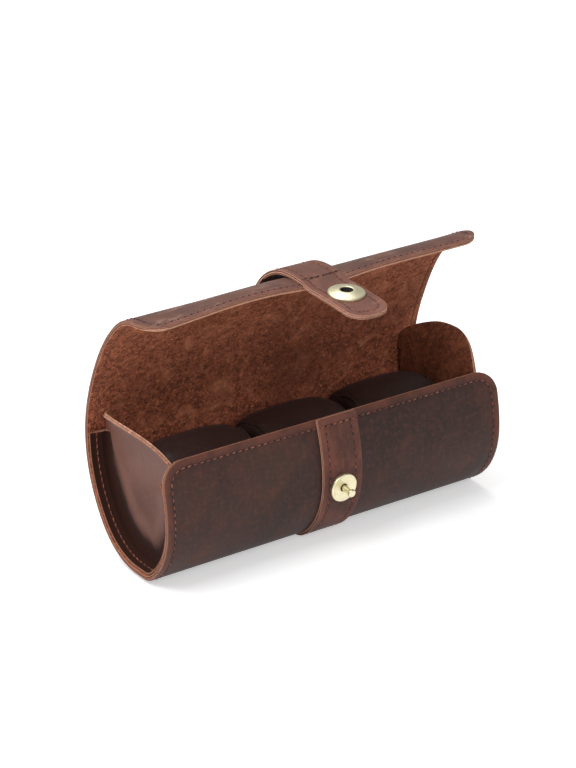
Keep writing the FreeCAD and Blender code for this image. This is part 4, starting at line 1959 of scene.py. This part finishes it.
    def flange_strip(self, mesh: Mesh, near: float, far: float) -> None:
        """Add the bent border between two depths: a quarter circle from plate to wall, then a flat strip.

        At angle a of the quarter circle a layer at depth d lies r - (r - d) sin a under the lining and
        r - (r - d) cos a beyond the plate, with r the radius of the bend. The flat strip is thinned towards
        its edge, and its outer face has a crease near the bend.

        Args:
            mesh: where it goes.
            near: depth of the glued face.
            far: depth of the face in the open end.
        """
        case = self.kit.case
        reach = self.reaches()
        turn = np.linspace(0.0, math.pi / 2, self.fold_points)
        beyond = np.array([0.08, 0.16, 0.2, 0.24, 0.32, 0.45, 0.6, 0.75, 0.9, 0.955, 0.985, 1.0])
        width = self.flange - self.fillet
        flat_out = self.fillet + beyond * width
        rows, columns = len(turn) + len(beyond), len(reach)
        ends = np.minimum(reach - self.front_reach, self.last - reach)[None, :]
        free_end = np.concatenate([np.full(len(turn), INNER), (1 - beyond) * width])[:, None]
        away = np.minimum(ends, free_end)
        drop = rounding(away, self.bevel) * (np.arange(rows)[:, None] >= len(turn))
        easing = (np.cos(turn) ** 2)[:, None, None]
        starts = []
        for depth, sign in ((near, 1.0), (far, -1.0)):
            radius = self.fillet - depth
            ridge = self.crease * bell(beyond - self.crease_share, self.crease_width)
            flat_under = depth * self.thinning(flat_out) + ridge * (depth == self.thickness)
            under = np.concatenate([self.fillet - radius * np.sin(turn), flat_under])
            out = np.concatenate([self.fillet - radius * np.cos(turn), flat_out])
            level = under[:, None] + sign * drop
            spot = case.line.at(np.repeat(reach[None], rows, 0), -case.wall - level)[0]
            shift = self.lean_radius - self.lean_radius * np.cos(self.leaning(spot[..., 1]))
            x = self.side * (self.plane + out[:, None] + shift * self.freed(spot[..., 0]))
            points = np.concatenate([x[..., None], spot], -1)
            joined = self.leaned(spot[0], depth) - points[0]
            points[:len(turn)] += joined[None] * easing
            starts.append(mesh.count)
            flat = np.stack([np.repeat(reach[None], rows, 0), x, level], -1)
            # Painted shade all over the flange.
            painted_light_and_wear = np.full((rows, columns), self.flange_painted_shade)
            mesh.add(points, grid_faces(rows, columns), flat, away, painted_light_and_wear)
        border = border_indices(rows, columns)
        after = np.roll(border, -1)
        open_side = (border < columns) & (after < columns)
        near_start, far_start = starts
        quads = np.stack([border + near_start, after + near_start, after + far_start, border + far_start], 1)
        mesh.faces.extend(quads[~open_side].tolist())

    def build(self) -> None:
        """Make the two layers of the panel."""
        rows = (
            ("leather", self.suede, self.thickness, self.kit.panel, Slot.PANEL),
            ("lining", 0.0, self.suede, self.kit.panel_suede, Slot.SUEDE),
        )
        for layer, near, far, finish, slot in rows:
            mesh = Mesh()
            self.plate(mesh, near, far)
            self.flange_strip(mesh, near, far)
            piece = mesh.build(f"end_{self.name}_{layer}", finish)
            recalculate(piece, merge=0.004)
            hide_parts(f"{self.name}_panel_{layer}")
            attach(piece, "tray")
            anchor = (self.side * self.plane * MM, self.middle[0] * MM, self.squash_anchor * MM)
            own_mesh(piece)


# Cushions


@dataclass
class Cushion:
    """A stuffed pillow of soft dark leather, swollen by cloth simulation, with a welt at either end."""

    kit: Kit
    name: str
    middle: float
    pitch: float = 55.2
    length: float = 53.5
    width: float = 52.5
    height: float = 55.5
    back: float = 4.75
    floor: float = 5.1
    inset: float = 1.6
    corners: tuple = ((-0.405, -0.33), (0.281, -0.321), (0.433, 0.3375), (-0.414, 0.3375))
    bulges: tuple = ((-0.10, -0.5), (0.5, 0.03), (0.014, 0.5), (-0.5, 0.05))
    around: int = 56
    along: int = 22
    end_size: float = 0.8
    end_power: float = 3.2
    voxel: float = 2.6
    pressure: float = 4.0
    mass: float = 0.05
    stiffness: float = 12.0
    bending: float = 1.5
    frames: int = 20
    most_swell: float = 1.5
    fold_height: float = 0.45
    fold_run: float = 0.28
    seam_share: float = 0.86
    seam_depth: float = 0.9
    seam_width: float = 0.035
    welt_around: int = 96
    welt_sides: int = 8
    welt_radius: float = 0.75
    welt_rise: float = 0.15
    welt_reading: float = 1.6

    @property
    def centre(self) -> float:
        """Height of the middle."""
        return self.floor + self.height / 2

    def section(self) -> Array:
        """Outline of the pillow in shares of its size: four circles through corner, bulge and corner.

        A circle through three points has its centre where the two chords' mid-normals meet; the outline is
        read at even angles round its middle and softened.

        Returns:
            Shares across and up.
        """
        found = []
        for k in range(4):
            three = (self.corners[k], self.bulges[k], self.corners[(k + 1) % 4])
            a, b, c = [np.array(spot) for spot in three]
            matrix = 2 * np.array([b - a, c - a])
            centre = np.linalg.solve(matrix, np.array([b @ b - a @ a, c @ c - a @ a]))
            angles = np.unwrap([math.atan2(*(spot - centre)[::-1]) for spot in (a, b, c)])
            turn = np.linspace(angles[0], angles[2], 40)[:-1]
            radius = np.linalg.norm(a - centre)
            found.append(centre + radius * np.stack([np.cos(turn), np.sin(turn)], 1))
        angle, size = read_round(np.concatenate(found), self.around)
        return np.stack([size * np.cos(angle), size * np.sin(angle)], 1)

    def start_shape(self) -> Piece:
        """Closed pillow a little smaller than the finished one: its section shrinks towards the two ends.

        Returns:
            The pillow.
        """
        across, rows = self.around, self.along
        outline = self.section()
        share = np.linspace(-1.0, 1.0, rows)
        round_part = np.sqrt(np.maximum(1 - np.abs(share) ** self.end_power, 0.0))
        size = self.end_size + (1 - self.end_size) * round_part
        x = self.middle + share * (self.length / 2 - self.inset)
        y = self.back + outline[None, :, 0] * (self.width - 2 * self.inset) * size[:, None]
        z = self.centre + outline[None, :, 1] * (self.height - 2 * self.inset) * size[:, None]
        points = np.stack([np.repeat(x[:, None], across, 1), y, z], -1)
        mesh = Mesh()
        mesh.add(points, grid_faces(rows, across, ring=True))
        mesh.faces.extend([list(range(across - 1, -1, -1)), list(range((rows - 1) * across, rows * across))])
        return mesh.build(f"pillow_{self.name}", self.kit.cushion)

    def inflate(self, piece: Piece) -> None:
        """Blow the pillow up as cloth under pressure, and keep the last frame's shape."""
        cloth = piece.modifiers.new("cloth", "CLOTH").settings
        cloth.uniform_pressure_force = self.pressure
        cloth.use_pressure = True
        cloth.effector_weights.gravity = 0.0
        cloth.mass = self.mass
        cloth.tension_stiffness = self.stiffness
        cloth.compression_stiffness = self.stiffness
        cloth.bending_stiffness = self.bending
        for frame in range(1, self.frames + 1):
            bpy.context.scene.frame_set(frame)
        bake(piece)
        bpy.context.scene.frame_set(1)

    def swell(self, piece: Piece) -> None:
        """Remesh the pillow, blow it up, hold each point's way to the most it may swell, and soften it."""
        remesh = piece.modifiers.new("remesh", "REMESH")
        remesh.mode = "VOXEL"
        remesh.voxel_size = self.voxel * MM
        remesh.use_smooth_shade = True
        bake(piece)
        start = coordinates(piece)
        self.inflate(piece)
        moved = coordinates(piece) - start
        far = np.linalg.norm(moved, axis=1, keepdims=True)
        moved *= np.minimum(1.0, self.most_swell * MM / np.maximum(far, 1e-9))
        move_points(piece, start + moved)
        soften = piece.modifiers.new("subdivide", "SUBSURF")
        soften.levels = 1
        soften.render_levels = 1
        bake(piece)

    def crumple(self, piece: Piece) -> None:
        """Fine folds that run in from both ends, and a dip along the end seams.

        The folds are waves round the section, strongest at the ends; the dip is a bell centred on the seam.

        Args:
            piece: the pillow.
        """
        place = coordinates(piece)
        x = (place[:, 0] / MM - self.middle) / (self.length / 2)
        y, z = place[:, 1] / MM - self.back, place[:, 2] / MM - self.floor - self.height / 2
        angle = np.arctan2(z, y)
        seed = self.middle * 0.37
        fold = np.sin(angle * 17 + seed) * 0.5 + np.sin(angle * 29 + 2.0 * seed + x * 3) * 0.35
        near_end = bell(1 - np.abs(x), self.fold_run)
        dip = bell(np.abs(x) - self.seam_share, self.seam_width)
        radial = np.stack([np.zeros_like(y), y, z], 1)
        radial /= np.maximum(np.linalg.norm(radial, axis=1, keepdims=True), 1e-9)
        rise = fold * near_end * self.fold_height - self.seam_depth * dip
        move_points(piece, place + radial * rise[:, None] * MM)
        piece.data.update()

    def welt(self, piece: Piece) -> Piece:
        """Thin rolled welt over each end seam: a tube through the pillow's own surface at the seam.

        Args:
            piece: the pillow.

        Returns:
            Both welts as one piece.
        """
        place = coordinates(piece) / MM
        around, tube, radius = self.welt_around, self.welt_sides, self.welt_radius
        here = np.arange(tube)
        after, last = (here + 1) % tube, (around - 1) * tube
        closing = np.stack([here + last, after + last, after, here], 1)
        turn = here * 2 * math.pi / tube
        mesh = Mesh()
        for sign in (-1.0, 1.0):
            x = self.middle + sign * self.seam_share * self.length / 2
            close = place[np.abs(place[:, 0] - x) < self.welt_reading]
            spokes = np.stack([close[:, 1] - self.back, close[:, 2] - self.floor - self.height / 2], 1)
            angle, size = read_round(spokes, around)
            out = size[:, None] + self.welt_rise + radius * np.cos(turn)[None]
            points = np.stack([
                x + radius * np.sin(turn)[None] * np.ones_like(out),
                self.back + out * np.cos(angle)[:, None],
                self.centre + out * np.sin(angle)[:, None],
            ], -1)
            mesh.add(points, np.concatenate([grid_faces(around, tube, ring=True), closing]))
        made = mesh.build(f"welt_{self.name}", self.kit.cushion)
        recalculate(made)
        return made

    def build(self) -> None:
        """Make the pillow and its welts."""
        piece = self.start_shape()
        self.swell(piece)
        self.crumple(piece)
        add_flat(piece)
        welt = self.welt(piece)
        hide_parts(f"cushion_{self.name}_cover", f"cushion_{self.name}_core")
        for made in (piece, welt):
            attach(made, f"cushion_{self.name}")


def coordinates(piece: Piece) -> Array:
    """Places of a mesh's points, in metres."""
    place = np.empty(len(piece.data.vertices) * 3, np.float32)
    piece.data.vertices.foreach_get("co", place)
    return place.reshape(-1, 3).astype(float)


def move_points(piece: Piece, place: Array) -> None:
    """Set the places of a mesh's points, in metres."""
    piece.data.vertices.foreach_set("co", place.astype(np.float32).ravel())


def bake(piece: Piece) -> None:
    """Apply every modifier of a piece."""
    graph = bpy.context.evaluated_depsgraph_get()
    final = bpy.data.meshes.new_from_object(piece.evaluated_get(graph))
    piece.modifiers.clear()
    old = piece.data
    piece.data = final
    bpy.data.meshes.remove(old)


def add_flat(piece: Piece) -> None:
    """Give a remeshed piece the attributes that the leather reads: its own place, far from any border."""
    for name in ("flat", "edge"):
        if name in piece.data.attributes:
            piece.data.attributes.remove(piece.data.attributes[name])
    flat = piece.data.attributes.new("flat", "FLOAT_VECTOR", "POINT")
    flat.data.foreach_set("vector", coordinates(piece).astype(np.float32).ravel())
    edge = piece.data.attributes.new("edge", "FLOAT", "POINT")
    edge.data.foreach_set("value", np.full(len(piece.data.vertices), INNER * MM, np.float32))
    piece.data.polygons.foreach_set("use_smooth", np.ones(len(piece.data.polygons), bool))


# Studio


@dataclass
class Studio:
    """Pale floor, soft lamps and the camera of the picture.

    Lamps are a name, place, aim, size and power each, in metres and watts.
    """

    focal_pixels: float = 2569.56
    picture_width: float = 576.0
    sensor: float = 36.0
    near_clip: float = 0.05
    far_clip: float = 30.0
    eye: Triple = (-656.2, -912.65, 565.5)
    right: Triple = (0.815356, -0.578960, 0.0)
    up: Triple = (0.232363, 0.327239, 0.915927)
    back: Triple = (-0.530285, -0.746807, 0.401345)
    floor_half: float = 3000.0
    floor_drop: float = 0.05
    floor_grey: float = 0.82
    glow: float = 0.42
    lamps: tuple = (
        ("key", (-0.85, 0.05, 1.1), (0.0, 0.0, 0.05), 0.8, 11.0),
        ("top", (0.1, 0.5, 1.3), (0.0, 0.0, 0.05), 0.9, 8.0),
        ("fill", (-0.35, -1.35, 0.95), (0.0, 0.0, 0.06), 0.9, 7.0),
    )

    def camera(self) -> None:
        """Place the camera."""
        data = bpy.data.cameras.new("camera")
        data.sensor_fit = "HORIZONTAL"
        data.sensor_width = self.sensor
        data.lens = self.focal_pixels * self.sensor / self.picture_width
        data.clip_start, data.clip_end = self.near_clip, self.far_clip
        camera = bpy.data.objects.new("camera", data)
        turn = Matrix([self.right, self.up, self.back]).transposed().to_4x4()
        camera.matrix_world = Matrix.Translation(Vector(self.eye) * MM) @ turn
        bpy.context.scene.collection.objects.link(camera)
        bpy.context.scene.camera = camera

    @staticmethod
    def lamp(name: str, place: Sequence[float], aim: Sequence[float], size: float, power: float) -> None:
        """Hang a square soft lamp that looks at a point.

        Args:
            name: the lamp's name.
            place: where it hangs, in metres.
            aim: the point that it looks at.
            size: of its side, in metres.
            power: in watts.
        """
        data = bpy.data.lights.new(name, "AREA")
        data.shape = "SQUARE"
        data.size = size
        data.energy = power
        lamp = bpy.data.objects.new(name, data)
        lamp.location = place
        lamp.rotation_euler = (Vector(aim) - Vector(place)).to_track_quat("-Z", "Y").to_euler()
        bpy.context.scene.collection.objects.link(lamp)

    def floor(self) -> None:
        """Lay the floor: it takes shadows, and the camera sees it near white."""
        g = Graph("floor")
        kinds = ("Camera", "Glossy", "Transmission")
        paths, glossy, through = [g.node("ShaderNodeLightPath", {}, {}, f"Is {kind} Ray") for kind in kinds]
        seen = g.node("ShaderNodeMath", {"operation": "MAXIMUM"}, {0: paths, 1: glossy})
        seen = g.node("ShaderNodeMath", {"operation": "MAXIMUM"}, {0: seen, 1: through})
        grey = (*(self.floor_grey,) * 3, 1.0)
        matt = g.node("ShaderNodeBsdfDiffuse", {}, {"Color": grey})
        white = {"Color": (1.0, 1.0, 1.0, 1.0), "Strength": seen * self.glow}
        glow = g.node("ShaderNodeEmission", {}, white)
        finish = g.close(g.node("ShaderNodeAddShader", {}, {0: matt, 1: glow}))
        half, level = self.floor_half, -self.floor_drop
        corners = np.array([[x * half, y * half, level] for x, y in ((-1, -1), (1, -1), (1, 1), (-1, 1))])
        mesh = Mesh()
        mesh.add(corners, [[0, 1, 2, 3]])
        mesh.build("floor", finish, smooth=False)

    def world(self) -> None:
        """Light the room evenly; the camera sees white."""
        world = bpy.data.worlds.new("room")
        bpy.context.scene.world = world
        world.use_nodes = True
        tree = world.node_tree
        tree.nodes.clear()
        output = tree.nodes.new("ShaderNodeOutputWorld")
        shader = tree.nodes.new("ShaderNodeBackground")
        paths = tree.nodes.new("ShaderNodeLightPath")
        scale = tree.nodes.new("ShaderNodeMapRange")
        scale.inputs["To Min"].default_value = self.glow
        scale.inputs["To Max"].default_value = 1.0
        tree.links.new(paths.outputs["Is Camera Ray"], scale.inputs["Value"])
        tree.links.new(scale.outputs["Result"], shader.inputs["Strength"])
        shader.inputs["Color"].default_value = (1.0, 1.0, 1.0, 1.0)
        tree.links.new(shader.outputs["Background"], output.inputs["Surface"])

    def build(self) -> None:
        """Set up the whole studio."""
        self.floor()
        self.world()
        for lamp in self.lamps:
            self.lamp(*lamp)
        self.camera()
        bpy.context.scene.view_settings.view_transform = "Standard"


def finishes() -> dict[str, Finish]:
    rows = {
        # The lid's edge gets a paler tone: painted sheen with some wear.
        "leather": OiledLeather("oiled_leather", painted_light_and_wear_colour=(126, 84, 70), painted_light_and_wear_gloss=-0.08, bloom=0.45),
        # The strap's loop gets a paler tone: painted sheen with some wear.
        "strap": OiledLeather(
            "strap_leather", body=(64, 35, 28), cloud=(86, 48, 39), olive=(74, 46, 36), scuff=(138, 82, 65),
            raw=(214, 156, 130), seam_inset=3.8, mottle=0.45, border_share=0.35, streaks=0.15,
            painted_light_and_wear_colour=(136, 92, 76), painted_light_and_wear_gloss=-0.06, bloom=0.25,
        ),
        # The panel's second tone is dark: painted shade on the plate's foot, along the fold and on the
        # flange.
        "panel": OiledLeather(
            "panel_leather", body=(106, 70, 59), cloud=(120, 81, 70), olive=(109, 74, 62),
            scuff=(138, 98, 84), raw=(196, 140, 116), painted_light_and_wear_colour=(46, 21, 13), seam_inset=NO_SEAM, border=2.0,
            roughness=0.46, specular=0.26, grain=0.12, mottle=0.15, painted_light_and_wear_gloss=0.25, streaks=0.12,
        ),
        "suede": Suede("suede"),
        "panel_suede": Suede(
            "panel_suede", seam_inset=NO_SEAM, dark=(80, 42, 28), body=(116, 64, 44), pale=(152, 92, 64),
        ),
        "cushion": OiledLeather(
            "cushion_leather", body=(40, 25, 22), cloud=(54, 34, 30), olive=(48, 34, 28), scuff=(72, 46, 39),
            seam_inset=NO_SEAM, roughness=0.5, grain=0.5, border_share=0.0,
        ),
        "metal": SatinMetal("pale_gold"),
        # Painted shade for the insides of the socket and the stud's hole.
        "dark": CavityShade("socket_inside_shade"),
        # Each thread's hole colour is the painted shade of its needle holes.
        "rust_thread": Thread("rust_thread", body=(150, 92, 74), dark=(104, 58, 46)),
        "plum_thread": Thread("plum_thread", body=(108, 62, 56), dark=(66, 36, 36)),
        "suede_thread": Thread("suede_thread", body=(156, 96, 70), dark=(116, 66, 48), hole=(86, 46, 34)),
    }
    return {name: finish.build() for name, finish in rows.items()}


def main() -> None:
    """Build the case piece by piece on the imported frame."""
    logging.basicConfig(level=logging.INFO, format="%(name)s %(message)s")
    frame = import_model()
    nodes = {name: bpy.data.objects[name] if isinstance(node, str) else node
             for name, node in frame["nodes"].items()}
    kit = Kit(CaseLine(), Joints(frame["record"]), nodes, **finishes())
    Studio().build()
    WrapShell(kit).build()
    StrapBand(kit).build()
    PressLock(kit).build()
    EndPanel(kit, -1.0, "left").build()
    EndPanel(kit, 1.0, "right").build()
    for number, name in enumerate(("left", "middle", "right")):
        Cushion(kit, name, (number - 1) * Cushion.pitch).build()


if __name__ == "__main__":
    main()
